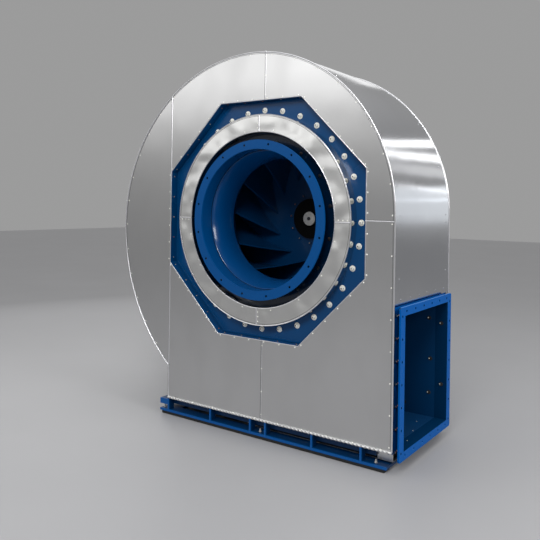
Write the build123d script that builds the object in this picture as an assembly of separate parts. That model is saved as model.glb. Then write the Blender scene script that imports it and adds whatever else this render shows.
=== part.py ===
# Insulated centrifugal fan with a bare shaft end, all sizes in millimetres.
# The origin is the centre of the inlet flange's face, on the shaft axis.
# +Y runs along the shaft from the inlet to the drive end, +X to the discharge, +Z up.

from build123d import *
from math import acos, asin, cos, degrees, hypot, radians, sin, sqrt, tan
import os

os.makedirs("parts", exist_ok=True)

# Inlet flange, spigot and rounded nozzle
inlet_radius = 355.0
inlet_flange_width = 47.0
inlet_flange_thickness = 8.0
inlet_hole_offset = 27.0
inlet_hole_count = 16
inlet_hole_radius = 5.75
spigot_length = 84.0
nozzle_wall = 4.0
nozzle_drop = 39.0
throat_depth = 214.0
nozzle_lip = 12.0
nozzle_collar_width = 70.0
nozzle_collar_thickness = 6.0

# Cladding and insulation
cladding_setback = 24.0
cladding_sheet = 1.5
insulation = 54.0
rear_insulation_depth = 83.0
window_margin = 45.0
window_frame_wall = 3.0
centre_seam_x = 36.0
side_seam_z = 11.0
seam_gap = 1.0
foot_left = 600.0
fold_width = 5.0
cladding_rise = 9.0
ring_gap = 12.0
ring_width = 90.0
ring_proud = 3.0

# Steel casing: a scroll of arcs, each on its own centre
scroll_margin = 154.0
scroll_centre_x = -65.0
scroll_centre_z = 38.0
scroll_step_left = 88.0
scroll_step_bottom = 116.0
cutoff_step = 105.0
cutoff_nose_radius = 26.0
casing_width = 530.0
casing_plate = 4.0
cover_plate = 4.0
cover_margin = 4.0
cover_bolt_gap = 14.0
cover_bolt_lap = 15.0
cover_bolt_count = 32
cover_bolt_head_radius = 10.0
cover_bolt_head_height = 9.0
shaft_opening_radius = 95.0

# Outlet at the casing's lower right
outlet_height = 600.0
outlet_frame_back = 709.0
outlet_frame_thickness = 15.0
outlet_flange_face = 773.0
outlet_flange_thickness = 8.0
outlet_side_leg = 48.0
outlet_top_leg = 40.0
outlet_frame_bottom_leg = 8.0
outlet_corner_radius = 12.0
frame_corner_radius = 1.0
outlet_hole_radius = 5.5
outlet_hole_edge = 20.0
outlet_hole_pitch = 100.0
outlet_side_holes = 7
outlet_end_holes = 6
frame_bolt_head_radius = 9.0
frame_bolt_head_height = 7.0

# Impeller, backward curved, turning from +X towards +Z
impeller_radius = 530.0
back_plate_gap = 64.0
back_plate_thickness = 8.0
blade_count = 12
blade_thickness = 5.0
blade_inner_radius = 236.0
blade_inlet_angle = 27.0
blade_outlet_angle = 45.0
blade_phase = 24.8
blade_edge_angle = 28.0
shroud_thickness = 5.0
shroud_curve_radius = 120.0
shroud_curve_angle = 70.0
shroud_overlap = 14.0
eye_clearance = 6.0
hub_nose_radius = 113.0
hub_nose_length = 20.0
hub_flange_radius = 165.0
hub_flange_thickness = 18.0
hub_barrel_radius = 85.0
hub_barrel_length = 30.0
hub_bolt_circle = 140.0
hub_bolt_head_radius = 8.0
hub_bolt_head_height = 7.0

# Shaft and bearings
shaft_hub_radius = 36.0
shaft_body_radius = 46.0
shaft_bearing_radius = 40.0
shaft_drive_radius = 37.5
shaft_drive_length = 140.0
shaft_drive_gap = 25.0
retainer_radius = 39.0
retainer_thickness = 14.0
retainer_bolt_radius = 10.0
key_width = 20.0
key_seat_depth = 7.5
key_length = 110.0
key_turn = 22.5
bearing_setback = 115.0
bearing_span = 300.0
bearing_height = 112.0
bearing_width = 110.0
bearing_body_radius = 95.0
bearing_foot_half = 165.0
bearing_foot_height = 28.0
bearing_cavity_radius = 75.0
bearing_cavity_width = 70.0
bearing_ring_width = 46.0
bearing_inner_radius = 62.0
bearing_running_clearance = 0.05
bearing_bolt_radius = 12.0
bearing_bolt_height = 12.0
bearing_bolt_reach = 130.0
seal_flange_radius = 130.0
seal_flange_thickness = 8.0
seal_tube_radius = 76.0
seal_projection = 13.0
seal_clearance = 0.5
shaft_passage_clearance = 4.0

# Base and pedestal
foot_plate_thickness = 12.0
strip_thickness = 16.0
foot_plate_left = 661.0
foot_plate_right = 718.0
foot_plate_depth = 70.0
strip_inset = 12.0
rail_drop = 6.0
rail_height = 30.0
rail_thickness = 14.0
gusset_space = 26.0
rail_right = 650.0
side_rail_width = 56.0
gusset_thickness = 10.0
gusset_places = (-599.0, -296.0, -33.0, 61.0, 331.0, 591.0)
foot_bolt_places = (-648.0, 14.0, 655.0)
foot_bolt_radius = 10.0
foot_bolt_height = 22.0
foot_bolt_setback = 28.0
cross_plate_width = 100.0
pedestal_gap = 46.0
pedestal_length = 530.0
pedestal_top_half = 185.0
pedestal_top_thickness = 25.0
pedestal_wall = 12.0
pedestal_upper_half = 150.0
pedestal_lower_half = 238.0
pedestal_foot_width = 110.0
pedestal_foot_reach = 60.0
pedestal_door_width = 180.0
pedestal_door_height = 420.0
anchor_hole_radius = 11.0
anchor_hole_end = 60.0

# Clearance between pieces that only touch, inside the ring and round the retainer's bolt
seat = 0.3
mat_clearance = 0.9
retainer_bolt_clearance = 0.5

# Planes across the shaft, counted from the inlet flange's face
cladding_front = cladding_setback
side_plate_front = cladding_front + insulation
casing_front = side_plate_front + casing_plate
casing_back = casing_front + casing_width
side_plate_back = casing_back + casing_plate
cladding_back = side_plate_back + rear_insulation_depth
cover_front = side_plate_front - cover_plate
back_plate_front = casing_back - back_plate_gap
shaft_start = back_plate_front - hub_nose_length
hub_flange_front = back_plate_front + back_plate_thickness
pedestal_start = cladding_back + pedestal_gap
pedestal_end = pedestal_start + pedestal_length
bearing_front = pedestal_start + bearing_setback
bearing_places = (bearing_front, bearing_front + bearing_span)
drive_start = bearing_places[1] + bearing_width / 2 + shaft_drive_gap
shaft_end = drive_start + shaft_drive_length

# Radii round the inlet, each from the one inside it
throat_radius = inlet_radius - nozzle_drop
inlet_hole_circle = inlet_radius + inlet_hole_offset
inlet_flange_radius = inlet_radius + inlet_flange_width
nozzle_outer = inlet_radius + nozzle_wall
collar_outer = nozzle_outer + nozzle_collar_width
ring_inner_radius = collar_outer + ring_gap
ring_outer_radius = ring_inner_radius + ring_width
cover_bolt_circle = ring_outer_radius + cover_bolt_gap + cover_bolt_head_radius
cover_opening_radius = cover_bolt_circle - cover_bolt_lap
window_apothem = cover_bolt_circle + window_margin
scroll_radius = window_apothem + scroll_margin

# Scroll arcs of the steel shell's outer face: centre and radius of each quarter
centre_right = (scroll_centre_x, scroll_centre_z)
centre_left = (scroll_centre_x, scroll_centre_z - scroll_step_left)
centre_bottom = (scroll_centre_x + scroll_step_bottom, scroll_centre_z - scroll_step_left)
radius_right = scroll_radius
radius_left = radius_right + scroll_step_left
radius_bottom = radius_left + scroll_step_bottom
shell_right = centre_right[0] + radius_right
shell_bottom = centre_bottom[1] - radius_bottom
outlet_floor = shell_bottom + casing_plate
outlet_roof = outlet_floor + outlet_height
centre_cutoff = (scroll_centre_x + cutoff_step, scroll_centre_z)
radius_cutoff = shell_right - centre_cutoff[0]

# Levels under the casing, each from the one above it
cladding_bottom = -shell_bottom - cladding_rise
rail_top = -shell_bottom + rail_drop
plate_foot_bottom = rail_top + rail_height
foot_plate_top = plate_foot_bottom + gusset_space
floor_level = foot_plate_top + foot_plate_thickness + strip_thickness


def slab(face, front, back):
    # Solid between two planes across the shaft, from a face drawn in X and Z
    return Pos(0, back, 0) * extrude(Plane.XZ * face, amount=back - front)


def block(left, right, front, back, bottom, top):
    # Rectangular block between six planes
    centre = Pos((left + right) / 2, (front + back) / 2, (bottom + top) / 2)
    return centre * Box(right - left, back - front, top - bottom)


def rectangle(left, right, bottom, top):
    return Pos((left + right) / 2, (bottom + top) / 2) * Rectangle(right - left, top - bottom)


def turned(*points):
    # Ring or disc turned about the shaft axis from corners given as radius and depth
    return revolve(make_face(Polyline(*points, close=True)), Axis.Y, 360)


def octagon(apothem):
    reach = apothem / cos(radians(22.5))
    corners = [45 * step + 22.5 for step in range(8)]
    return make_face(
        Polyline(*[(reach * cos(radians(a)), reach * sin(radians(a))) for a in corners], close=True)
    )


def on_circle(radius, count, first):
    # Places in X and Z, evenly spaced round the shaft axis
    for step in range(count):
        angle = radians(first + 360 * step / count)
        yield radius * cos(angle), radius * sin(angle)


def discs(places, radius):
    return Sketch() + [Pos(x, z) * Circle(radius) for x, z in places]


def bottom_arc_end(grow, wall_x):
    # Angle and height where the last scroll arc, grown by a distance, meets a vertical wall
    angle = 360 - degrees(acos((wall_x - centre_bottom[0]) / (radius_bottom + grow)))
    return angle, centre_bottom[1] + (radius_bottom + grow) * sin(radians(angle))


def scroll_arcs(grow, last_angle):
    # Three arcs from the right side over the top and down the left
    return [
        CenterArc(centre_right, radius_right + grow, 0, 90),
        CenterArc(centre_left, radius_left + grow, 90, 90),
        CenterArc(centre_bottom, radius_bottom + grow, 180, last_angle - 180),
    ]


def scroll_face(grow, wall_x, corners):
    # Scroll outline with a straight foot, closed through the corners given
    last_angle, wall_z = bottom_arc_end(grow, wall_x)
    start = (shell_right + grow, scroll_centre_z)
    sides = Polyline((wall_x, wall_z), *corners, start)
    return make_face(scroll_arcs(grow, last_angle) + sides.edges())


def full_scroll_face(grow, right_x):
    # Scroll outline whose last arc runs to the bottom and out to a vertical edge
    bottom = centre_bottom[1] - radius_bottom - grow
    start = (shell_right + grow, scroll_centre_z)
    corners = [(centre_bottom[0], bottom), (right_x, bottom), (right_x, scroll_centre_z)]
    if right_x != start[0]:
        corners.append(start)
    return make_face(scroll_arcs(grow, 270) + Polyline(*corners).edges())


def arc_band(centre, radius, first, sweep, thickness):
    # Strip that lies inside an arc, as a face
    inner = radius - thickness
    ends = []
    for angle in (radians(first), radians(first + sweep)):
        near = (centre[0] + inner * cos(angle), centre[1] + inner * sin(angle))
        far = (centre[0] + radius * cos(angle), centre[1] + radius * sin(angle))
        ends.append(Line(near, far))
    arcs = [CenterArc(centre, radius, first, sweep), CenterArc(centre, inner, first, sweep)]
    return make_face(arcs + ends)


def cutoff_path(offset):
    # Arc, nose and roof of the cut-off, moved by an offset away from the air
    radius = radius_cutoff - casing_plate + offset
    nose = cutoff_nose_radius - offset
    nose_z = outlet_roof + cutoff_nose_radius
    reach = radius_cutoff - casing_plate + cutoff_nose_radius
    swing = degrees(asin((centre_cutoff[1] - nose_z) / reach))
    nose_x = centre_cutoff[0] + reach * cos(radians(swing))
    return [
        CenterArc(centre_cutoff, radius, 0, -swing),
        CenterArc((nose_x, nose_z), nose, 180 - swing, 90 + swing),
        Line((nose_x, nose_z - nose), (outlet_frame_back, nose_z - nose)),
    ]


def save(node, *shapes):
    # One file for each node, with every solid of the node in it
    solids = [solid for shape in shapes for solid in shape.solids()]
    whole = solids[0] if len(solids) == 1 else Compound(children=solids)
    export_step(whole, f"parts/{node}.step")


# Inlet: flange with its holes, spun nozzle with its collar, and the plate that carries it
hole_step = 360 / inlet_hole_count
flange_ring = Circle(inlet_flange_radius) - Circle(inlet_radius)
flange_holes = discs(on_circle(inlet_hole_circle, inlet_hole_count, hole_step / 2), inlet_hole_radius)
save("inlet_flange", slab(flange_ring - flange_holes, 0, inlet_flange_thickness))

nozzle_run = throat_depth - spigot_length
nozzle_curve = (nozzle_drop**2 + nozzle_run**2) / (2 * nozzle_drop)
curve_centre = throat_radius + nozzle_curve


def nozzle_radius(depth, wall):
    # Radius of the rounded nozzle at a depth, on its air side or a wall outside it
    rise = sqrt((nozzle_curve - wall) ** 2 - (depth - throat_depth) ** 2)
    return curve_centre - rise


def nozzle_arc(first, last, wall):
    # Arc of the rounded nozzle between two depths
    middle = (first + last) / 2
    return ThreePointArc(*[(nozzle_radius(depth, wall), depth) for depth in (first, middle, last)])


nozzle_end = throat_depth + nozzle_lip
outer_run = sqrt((nozzle_curve - nozzle_wall) ** 2 - (nozzle_curve - nozzle_drop - nozzle_wall) ** 2)
outer_crease = throat_depth - outer_run
collar_front = cover_front - nozzle_collar_thickness
nozzle_lines = Polyline(
    (nozzle_radius(nozzle_end, nozzle_wall), nozzle_end),
    (nozzle_radius(nozzle_end, 0), nozzle_end),
)
spigot_lines = Polyline(
    (inlet_radius, spigot_length),
    (inlet_radius, inlet_flange_thickness),
    (nozzle_outer, inlet_flange_thickness),
    (nozzle_outer, collar_front),
    (collar_outer, collar_front),
    (collar_outer, cover_front),
    (nozzle_outer, cover_front),
    (nozzle_outer, outer_crease),
)
nozzle_edges = [nozzle_arc(spigot_length, nozzle_end, 0), nozzle_arc(outer_crease, nozzle_end, nozzle_wall)]
nozzle_face = make_face(nozzle_edges + nozzle_lines.edges() + spigot_lines.edges())
save("inlet_nozzle", revolve(nozzle_face, Axis.Y, 360))

cover_face = octagon(window_apothem - cover_margin) - Circle(nozzle_outer + seat)
save("inlet_cover_plate", slab(cover_face, cover_front, side_plate_front))
bolt_head = RegularPolygon(cover_bolt_head_radius, 6)
cover_heads = [
    slab(Pos(x, z) * bolt_head, cover_front - cover_bolt_head_height, cover_front)
    for x, z in on_circle(cover_bolt_circle, cover_bolt_count, 90)
]
save("cover_bolts", *cover_heads)

frame_face = octagon(window_apothem + window_frame_wall) - octagon(window_apothem)
save("window_frame", slab(frame_face, cladding_front + cladding_sheet + seat, side_plate_front))

# Clad ring round the inlet, in four sections over its own insulation
ring_front = cladding_front - ring_proud
ring_inner_wall = ring_inner_radius + cladding_sheet
ring_outer_wall = ring_outer_radius - cladding_sheet
ring_section = make_face(
    Polyline(
        (ring_inner_radius, cover_front),
        (ring_inner_radius, ring_front),
        (ring_outer_radius, ring_front),
        (ring_outer_radius, cover_front),
        (ring_outer_wall, cover_front),
        (ring_outer_wall, ring_front + cladding_sheet),
        (ring_inner_wall, ring_front + cladding_sheet),
        (ring_inner_wall, cover_front),
        close=True,
    )
)
seam_angle = degrees(seam_gap / ring_inner_radius)
ring_names = ("lower_right", "lower_left", "upper_left", "upper_right")
for quarter, name in enumerate(ring_names):
    section = revolve(ring_section, Axis.Y, 90 - seam_angle)
    save(f"inlet_ring_{name}", Rot(0, 90 * quarter + seam_angle / 2, 0) * section)
save(
    "inlet_ring_insulation",
    turned(
        (ring_inner_wall + mat_clearance, cover_front - seat),
        (ring_inner_wall + mat_clearance, ring_front + cladding_sheet + seat),
        (ring_outer_wall - mat_clearance, ring_front + cladding_sheet + seat),
        (ring_outer_wall - mat_clearance, cover_front - seat),
    ),
)

# Steel casing: two side plates, the scroll wrapper between them and the cut-off plate
roof_top = outlet_roof + casing_plate
end_wall_x = -foot_left + cladding_sheet + seat + casing_plate
plate_corners = [
    (end_wall_x, -plate_foot_bottom),
    (rail_right, -plate_foot_bottom),
    (rail_right, shell_bottom),
    (outlet_frame_back, shell_bottom),
    (outlet_frame_back, roof_top),
    (shell_right, roof_top),
]
plate_face = scroll_face(0, end_wall_x, plate_corners)
save("front_side_plate", slab(plate_face - Circle(cover_opening_radius), side_plate_front, casing_front))
save("rear_side_plate", slab(plate_face - Circle(shaft_opening_radius), casing_back, side_plate_back))

wrapper_bands = [
    arc_band(centre_right, radius_right, 0, 90, casing_plate),
    arc_band(centre_left, radius_left, 90, 90, casing_plate),
    arc_band(centre_bottom, radius_bottom, 180, 90, casing_plate),
    rectangle(centre_bottom[0], outlet_frame_back, shell_bottom, outlet_floor),
]
save("scroll_wrapper", slab(Sketch() + wrapper_bands, casing_front, casing_back))

cutoff_ends = [
    Line((shell_right - casing_plate, scroll_centre_z), (shell_right, scroll_centre_z)),
    Line((outlet_frame_back, outlet_roof), (outlet_frame_back, roof_top)),
]
cutoff_face = make_face(cutoff_path(0) + cutoff_path(casing_plate) + cutoff_ends)
save("cutoff_plate", slab(cutoff_face, casing_front, casing_back))

mat_grow = insulation - cladding_sheet - seat
end_plate_top = bottom_arc_end(mat_grow, end_wall_x)[1] - seat
save(
    "foot_end_plate",
    block(
        end_wall_x - casing_plate, end_wall_x, side_plate_front, side_plate_back,
        -plate_foot_bottom, end_plate_top,
    ),
)

# Front and rear cladding, cut at the seams
clad_right = shell_right + insulation
clad_corners = [(-foot_left, -cladding_bottom), (clad_right, -cladding_bottom)]
clad_face = scroll_face(insulation, -foot_left, clad_corners)
window_face = octagon(window_apothem)
half_gap = seam_gap / 2
far = cladding_bottom + scroll_radius
front_regions = {
    "left": rectangle(-far, -foot_left - half_gap, -far, far),
    "upper_left": rectangle(-foot_left + half_gap, centre_seam_x - half_gap, half_gap, far),
    "upper_right": rectangle(centre_seam_x + half_gap, far, side_seam_z + half_gap, far),
    "lower_left": rectangle(-foot_left + half_gap, centre_seam_x - half_gap, -far, -half_gap),
    "lower_right": rectangle(centre_seam_x + half_gap, far, -far, side_seam_z - half_gap),
}
for name, region in front_regions.items():
    panel = (clad_face - window_face) & region
    save(f"front_panel_{name}", slab(panel, cladding_front, cladding_front + cladding_sheet))

seal_hole = Circle(seal_tube_radius + seat)
rear_regions = {
    "left": rectangle(-far, centre_seam_x - half_gap, -far, far),
    "right": rectangle(centre_seam_x + half_gap, far, -far, far),
}
for name, region in rear_regions.items():
    panel = (clad_face - seal_hole) & region
    save(f"rear_panel_{name}", slab(panel, cladding_back - cladding_sheet, cladding_back))

# Wrap sheets round the scroll, from the outlet over the top to the foot
wrap_front = cladding_front + cladding_sheet
wrap_back = cladding_back - cladding_sheet
foot_angle, foot_top = bottom_arc_end(insulation, -foot_left)
frame_top = outlet_roof + outlet_top_leg
clad_inner = clad_right - cladding_sheet
foot_inner_x = -foot_left + cladding_sheet
foot_wall = rectangle(-foot_left, foot_inner_x, -cladding_bottom, foot_top)
fold_angle = degrees(fold_width / radius_bottom)
lower_sweep = foot_angle + fold_angle - 180
lower_arc = arc_band(centre_bottom, radius_bottom + insulation, 180, lower_sweep, cladding_sheet)
lower_arc &= rectangle(-far, foot_inner_x, -far, far)
wrap_faces = {
    "outlet_side": rectangle(clad_inner, clad_right, frame_top + seat, scroll_centre_z),
    "upper_right": arc_band(centre_right, radius_right + insulation, 0, 90, cladding_sheet),
    "upper_left": arc_band(centre_left, radius_left + insulation, 90, 90, cladding_sheet),
    "lower_left": lower_arc + foot_wall,
}
for name, face in wrap_faces.items():
    save(f"wrap_{name}", slab(face, wrap_front, wrap_back))

# Insulation mats between steel and cladding
mat_corners = [
    (foot_inner_x + seat, -cladding_bottom),
    (clad_inner - seat, -cladding_bottom),
]
mat_face = scroll_face(mat_grow, foot_inner_x + seat, mat_corners)
outlet_box = rectangle(outlet_frame_back - seat, far, -far, frame_top + seat)
front_mat_face = mat_face - octagon(window_apothem + window_frame_wall + seat) - outlet_box
save("front_insulation", slab(front_mat_face, wrap_front + seat, side_plate_front - seat))
rear_mat_face = mat_face - Circle(seal_flange_radius + seat) - outlet_box
save("rear_insulation", slab(rear_mat_face, side_plate_back + seat, wrap_back - seat))

mat_right = shell_right + mat_grow
air_edges = [
    *scroll_arcs(seat, 270),
    Line((centre_bottom[0], shell_bottom - seat), (far, shell_bottom - seat)),
    Line((far, shell_bottom - seat), (far, roof_top + seat)),
    *cutoff_path(casing_plate + seat)[:2],
]
cutoff_roof = cutoff_path(casing_plate + seat)[2]
air_edges.append(Line(cutoff_roof @ 0, (far, roof_top + seat)))
air_face = make_face(air_edges)
band_face = full_scroll_face(mat_grow, mat_right) - air_face - outlet_box
save("scroll_insulation", slab(band_face, casing_front + seat, casing_back - seat))

# Tray under the belly that holds the insulation up
tray_bottom = shell_bottom - insulation
tray_first = bottom_arc_end(insulation, end_wall_x)[0]
straight_down = 270
tray_right = outlet_frame_back + outlet_frame_thickness
belly_sheet = arc_band(
    centre_bottom, radius_bottom + insulation, tray_first, straight_down - tray_first, cladding_sheet
) + rectangle(centre_bottom[0], tray_right, tray_bottom, tray_bottom + cladding_sheet)
frame_bottom = outlet_floor - outlet_frame_bottom_leg
tray_end = rectangle(rail_right + seat, tray_right, tray_bottom, frame_bottom - seat)
save(
    "belly_tray",
    slab(belly_sheet, casing_front + seat, casing_back - seat)
    + slab(tray_end, side_plate_front, casing_front + seat)
    + slab(tray_end, casing_back - seat, side_plate_back),
)

# Outlet: frame on the casing, bolted stub and drilled flange
side_front = casing_front - outlet_side_leg
side_back = casing_back + outlet_side_leg
frame_face_x = outlet_frame_back + outlet_frame_thickness
stub_start = frame_face_x
stub_flange_end = stub_start + outlet_frame_thickness
flange_back_x = outlet_flange_face - outlet_flange_thickness


def frame_plate(left, right, bottom, corner):
    # Rectangular ring across the discharge, open over the duct's bore
    outline = Pos((side_front + side_back) / 2, (bottom + frame_top) / 2) * RectangleRounded(
        side_back - side_front, frame_top - bottom, corner
    )
    bore = rectangle(casing_front, casing_back, outlet_floor, outlet_roof)
    return Pos(left, 0, 0) * extrude(Plane.YZ * (outline - bore), amount=right - left)


save("outlet_frame", frame_plate(outlet_frame_back, frame_face_x, frame_bottom, frame_corner_radius))
stub_walls = block(
    stub_flange_end, flange_back_x, casing_front - casing_plate, casing_back + casing_plate,
    outlet_floor - casing_plate, outlet_roof + casing_plate,
) - block(stub_start, flange_back_x, casing_front, casing_back, outlet_floor, outlet_roof)
save("outlet_stub", frame_plate(stub_start, stub_flange_end, frame_bottom, frame_corner_radius) + stub_walls)

outlet_middle_y = (casing_front + casing_back) / 2
outlet_middle_z = (outlet_floor + outlet_roof) / 2
flange_bottom = outlet_floor - outlet_top_leg
side_columns = (side_front + outlet_hole_edge, side_back - outlet_hole_edge)
end_rows = (flange_bottom + outlet_hole_edge, frame_top - outlet_hole_edge)


def centred(count):
    # Offsets of evenly pitched holes about the middle of a side
    return [(step - (count - 1) / 2) * outlet_hole_pitch for step in range(count)]


side_holes = [(y, outlet_middle_z + z) for y in side_columns for z in centred(outlet_side_holes)]
end_holes = [(outlet_middle_y + y, z) for z in end_rows for y in centred(outlet_end_holes)]
flange_drill = Plane.YZ * discs(side_holes + end_holes, outlet_hole_radius)
flange_plate = frame_plate(flange_back_x, outlet_flange_face, flange_bottom, outlet_corner_radius)
drill_start = Pos(flange_back_x, 0, 0)
save("outlet_flange", flange_plate - drill_start * extrude(flange_drill, amount=outlet_flange_thickness))

bolt_places = side_holes + [place for place in end_holes if place[1] > outlet_middle_z]
frame_head = Plane.YZ * RegularPolygon(frame_bolt_head_radius, 6)
frame_heads = [
    Pos(stub_flange_end, y, z) * extrude(frame_head, amount=frame_bolt_head_height)
    for y, z in bolt_places
]
save("outlet_frame_bolts", *frame_heads)

# Base: rails on the casing's feet, gussets, foot plates, cross plates and rubber strips
plate_top = -foot_plate_top
plate_bottom = plate_top - foot_plate_thickness
front_foot_back = cladding_front + foot_plate_depth
rear_foot_front = cladding_back - foot_plate_depth
rail_left = end_wall_x - casing_plate
front_rail_front = side_plate_front - rail_thickness
rear_rail_back = side_plate_back + rail_thickness
rail_span = (rail_left, rail_right)
save(
    "upper_rails",
    block(*rail_span, front_rail_front, side_plate_front, -plate_foot_bottom, -rail_top),
    block(*rail_span, side_plate_back, rear_rail_back, -plate_foot_bottom, -rail_top),
)
side_rail_right = gusset_places[0] - gusset_thickness / 2
save(
    "left_side_rail",
    block(
        side_rail_right - side_rail_width, side_rail_right, cladding_front + seat, cladding_back - seat,
        -plate_foot_bottom, -rail_top,
    ),
)
gusset_top = -cladding_bottom - seat
gusset_pieces = []
for x in gusset_places:
    sides = (x - gusset_thickness / 2, x + gusset_thickness / 2)
    gusset_pieces.append(block(*sides, cladding_front, front_rail_front, plate_top, gusset_top))
    gusset_pieces.append(block(*sides, rear_rail_back, cladding_back, plate_top, gusset_top))
save("gussets", *gusset_pieces)
foot_span = (-foot_plate_left, foot_plate_right)
save("front_foot_plate", block(*foot_span, cladding_front, front_foot_back, plate_bottom, plate_top))
save("rear_foot_plate", block(*foot_span, rear_foot_front, cladding_back, plate_bottom, plate_top))
save(
    "cross_plates",
    block(
        -foot_plate_left, cross_plate_width - foot_plate_left, front_foot_back, rear_foot_front,
        plate_bottom, plate_top,
    ),
    block(
        foot_plate_right - cross_plate_width, foot_plate_right, front_foot_back, rear_foot_front,
        plate_bottom, plate_top,
    ),
)
foot_bolt_head = RegularPolygon(foot_bolt_radius, 6)
foot_bolt_lines = (cladding_front + foot_bolt_setback, cladding_back - foot_bolt_setback)
foot_bolts = [
    Pos(x, y, plate_top) * extrude(foot_bolt_head, amount=foot_bolt_height)
    for x in foot_bolt_places
    for y in foot_bolt_lines
]
save("foot_bolts", *foot_bolts)

# Pedestal behind the casing: splayed walls, end plates, top plate and feet
pedestal_top = -bearing_height - pedestal_top_thickness
pedestal_bottom = plate_top
foot_outer = pedestal_lower_half + pedestal_wall + pedestal_foot_reach
foot_inner = foot_outer - pedestal_foot_width
save(
    "pedestal_top",
    block(
        -pedestal_top_half, pedestal_top_half, pedestal_start, pedestal_end,
        pedestal_top, -bearing_height,
    ),
)
wall_sides = []
for side in (-1, 1):
    wall_corners = [
        (side * pedestal_upper_half, pedestal_top),
        (side * (pedestal_upper_half + pedestal_wall), pedestal_top),
        (side * (pedestal_lower_half + pedestal_wall), pedestal_bottom),
        (side * pedestal_lower_half, pedestal_bottom),
    ]
    wall_face = make_face(Polyline(*wall_corners, close=True))
    wall_sides.append(slab(wall_face, pedestal_start, pedestal_end))
save("pedestal_side_walls", *wall_sides)
end_face = make_face(
    Polyline(
        (-pedestal_upper_half, pedestal_top),
        (pedestal_upper_half, pedestal_top),
        (pedestal_lower_half, pedestal_bottom),
        (-pedestal_lower_half, pedestal_bottom),
        close=True,
    )
)
door_z = (pedestal_top + pedestal_bottom) / 2
door_corner = pedestal_door_width / 3
door_face = Pos(0, door_z) * RectangleRounded(pedestal_door_width, pedestal_door_height, door_corner)
save(
    "pedestal_end_plates",
    slab(end_face, pedestal_start, pedestal_start + pedestal_wall),
    slab(end_face - door_face, pedestal_end - pedestal_wall, pedestal_end),
)
anchor_x = foot_outer - pedestal_foot_reach / 2
anchor_lines = (cladding_back + anchor_hole_end, pedestal_end - anchor_hole_end)
anchor_drill = Pos(0, 0, -floor_level) * extrude(
    discs([(anchor_x, y) for y in anchor_lines], anchor_hole_radius), amount=floor_level - foot_plate_top
)
pedestal_foot = block(foot_inner, foot_outer, cladding_back, pedestal_end, plate_bottom, plate_top)
pedestal_foot -= anchor_drill
save("pedestal_feet", pedestal_foot, mirror(pedestal_foot, Plane.YZ))
strip_left, strip_right = -foot_plate_left + strip_inset, foot_plate_right - strip_inset
floor_span = (-floor_level, plate_bottom)
pedestal_strip = block(
    foot_inner + strip_inset, foot_outer - strip_inset,
    cladding_back + strip_inset, pedestal_end - strip_inset, *floor_span,
) - anchor_drill
save(
    "foot_strips",
    block(
        strip_left, strip_right, cladding_front + strip_inset, front_foot_back - strip_inset, *floor_span
    ),
    block(
        strip_left, strip_right, rear_foot_front + strip_inset, cladding_back - strip_inset, *floor_span
    ),
    pedestal_strip,
    mirror(pedestal_strip, Plane.YZ),
)

# Bearings: split housings on the pedestal, outer rings in them, inner rings on the shaft
passage = Circle(shaft_bearing_radius + shaft_passage_clearance)
housing_halves = {
    "bearing_housings": rectangle(
        -bearing_foot_half, bearing_foot_half, -bearing_height, bearing_foot_height - bearing_height
    )
    + rectangle(-bearing_body_radius, bearing_body_radius, -bearing_height, 0),
    "bearing_caps": Circle(bearing_body_radius)
    & rectangle(-bearing_body_radius, bearing_body_radius, 0, bearing_body_radius),
}
for name, face in housing_halves.items():
    halves = []
    for y in bearing_places:
        solid = slab(face - passage, y - bearing_width / 2, y + bearing_width / 2)
        cavity = slab(
            Circle(bearing_cavity_radius), y - bearing_cavity_width / 2, y + bearing_cavity_width / 2
        )
        halves.append(solid - cavity)
    save(name, *halves)

outer_ring = Circle(bearing_cavity_radius - seat) - Circle(bearing_inner_radius)
inner_ring = Circle(bearing_inner_radius - bearing_running_clearance) - Circle(shaft_bearing_radius)
for name, face in (("bearing_outer_rings", outer_ring), ("bearing_inner_rings", inner_ring)):
    rings = [slab(face, y - bearing_ring_width / 2, y + bearing_ring_width / 2) for y in bearing_places]
    save(name, *rings)
housing_bolt_head = RegularPolygon(bearing_bolt_radius, 6)
housing_bolts = [
    Pos(side * bearing_bolt_reach, y, bearing_foot_height - bearing_height)
    * extrude(housing_bolt_head, amount=bearing_bolt_height)
    for side in (-1, 1)
    for y in bearing_places
]
save("bearing_bolts", *housing_bolts)

# Seal where the shaft leaves the casing
seal_bore = shaft_body_radius + seal_clearance
seal_end = cladding_back + seal_projection
save(
    "shaft_seal",
    turned(
        (seal_bore, side_plate_back),
        (seal_flange_radius, side_plate_back),
        (seal_flange_radius, side_plate_back + seal_flange_thickness),
        (seal_tube_radius, side_plate_back + seal_flange_thickness),
        (seal_tube_radius, seal_end),
        (seal_bore, seal_end),
    ),
)

# Rotor: stepped shaft with its key seat, hub, back plate, blades and shroud
barrel_end = hub_flange_front + hub_flange_thickness + hub_barrel_length
body_end = bearing_places[0] - bearing_width / 2 - shaft_drive_gap
shaft_bar = turned(
    (0, shaft_start),
    (shaft_hub_radius, shaft_start),
    (shaft_hub_radius, barrel_end),
    (shaft_body_radius, barrel_end),
    (shaft_body_radius, body_end),
    (shaft_bearing_radius, body_end),
    (shaft_bearing_radius, drive_start),
    (shaft_drive_radius, drive_start),
    (shaft_drive_radius, shaft_end),
    (0, shaft_end),
)
key_middle = shaft_end - shaft_drive_length / 2
key_bottom = shaft_drive_radius - key_seat_depth
key_place = (-key_width / 2, key_width / 2, key_middle - key_length / 2, key_middle + key_length / 2)
key_seat = Rot(0, key_turn, 0) * block(*key_place, key_bottom, shaft_drive_radius)
save("shaft", shaft_bar - key_seat)

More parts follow.
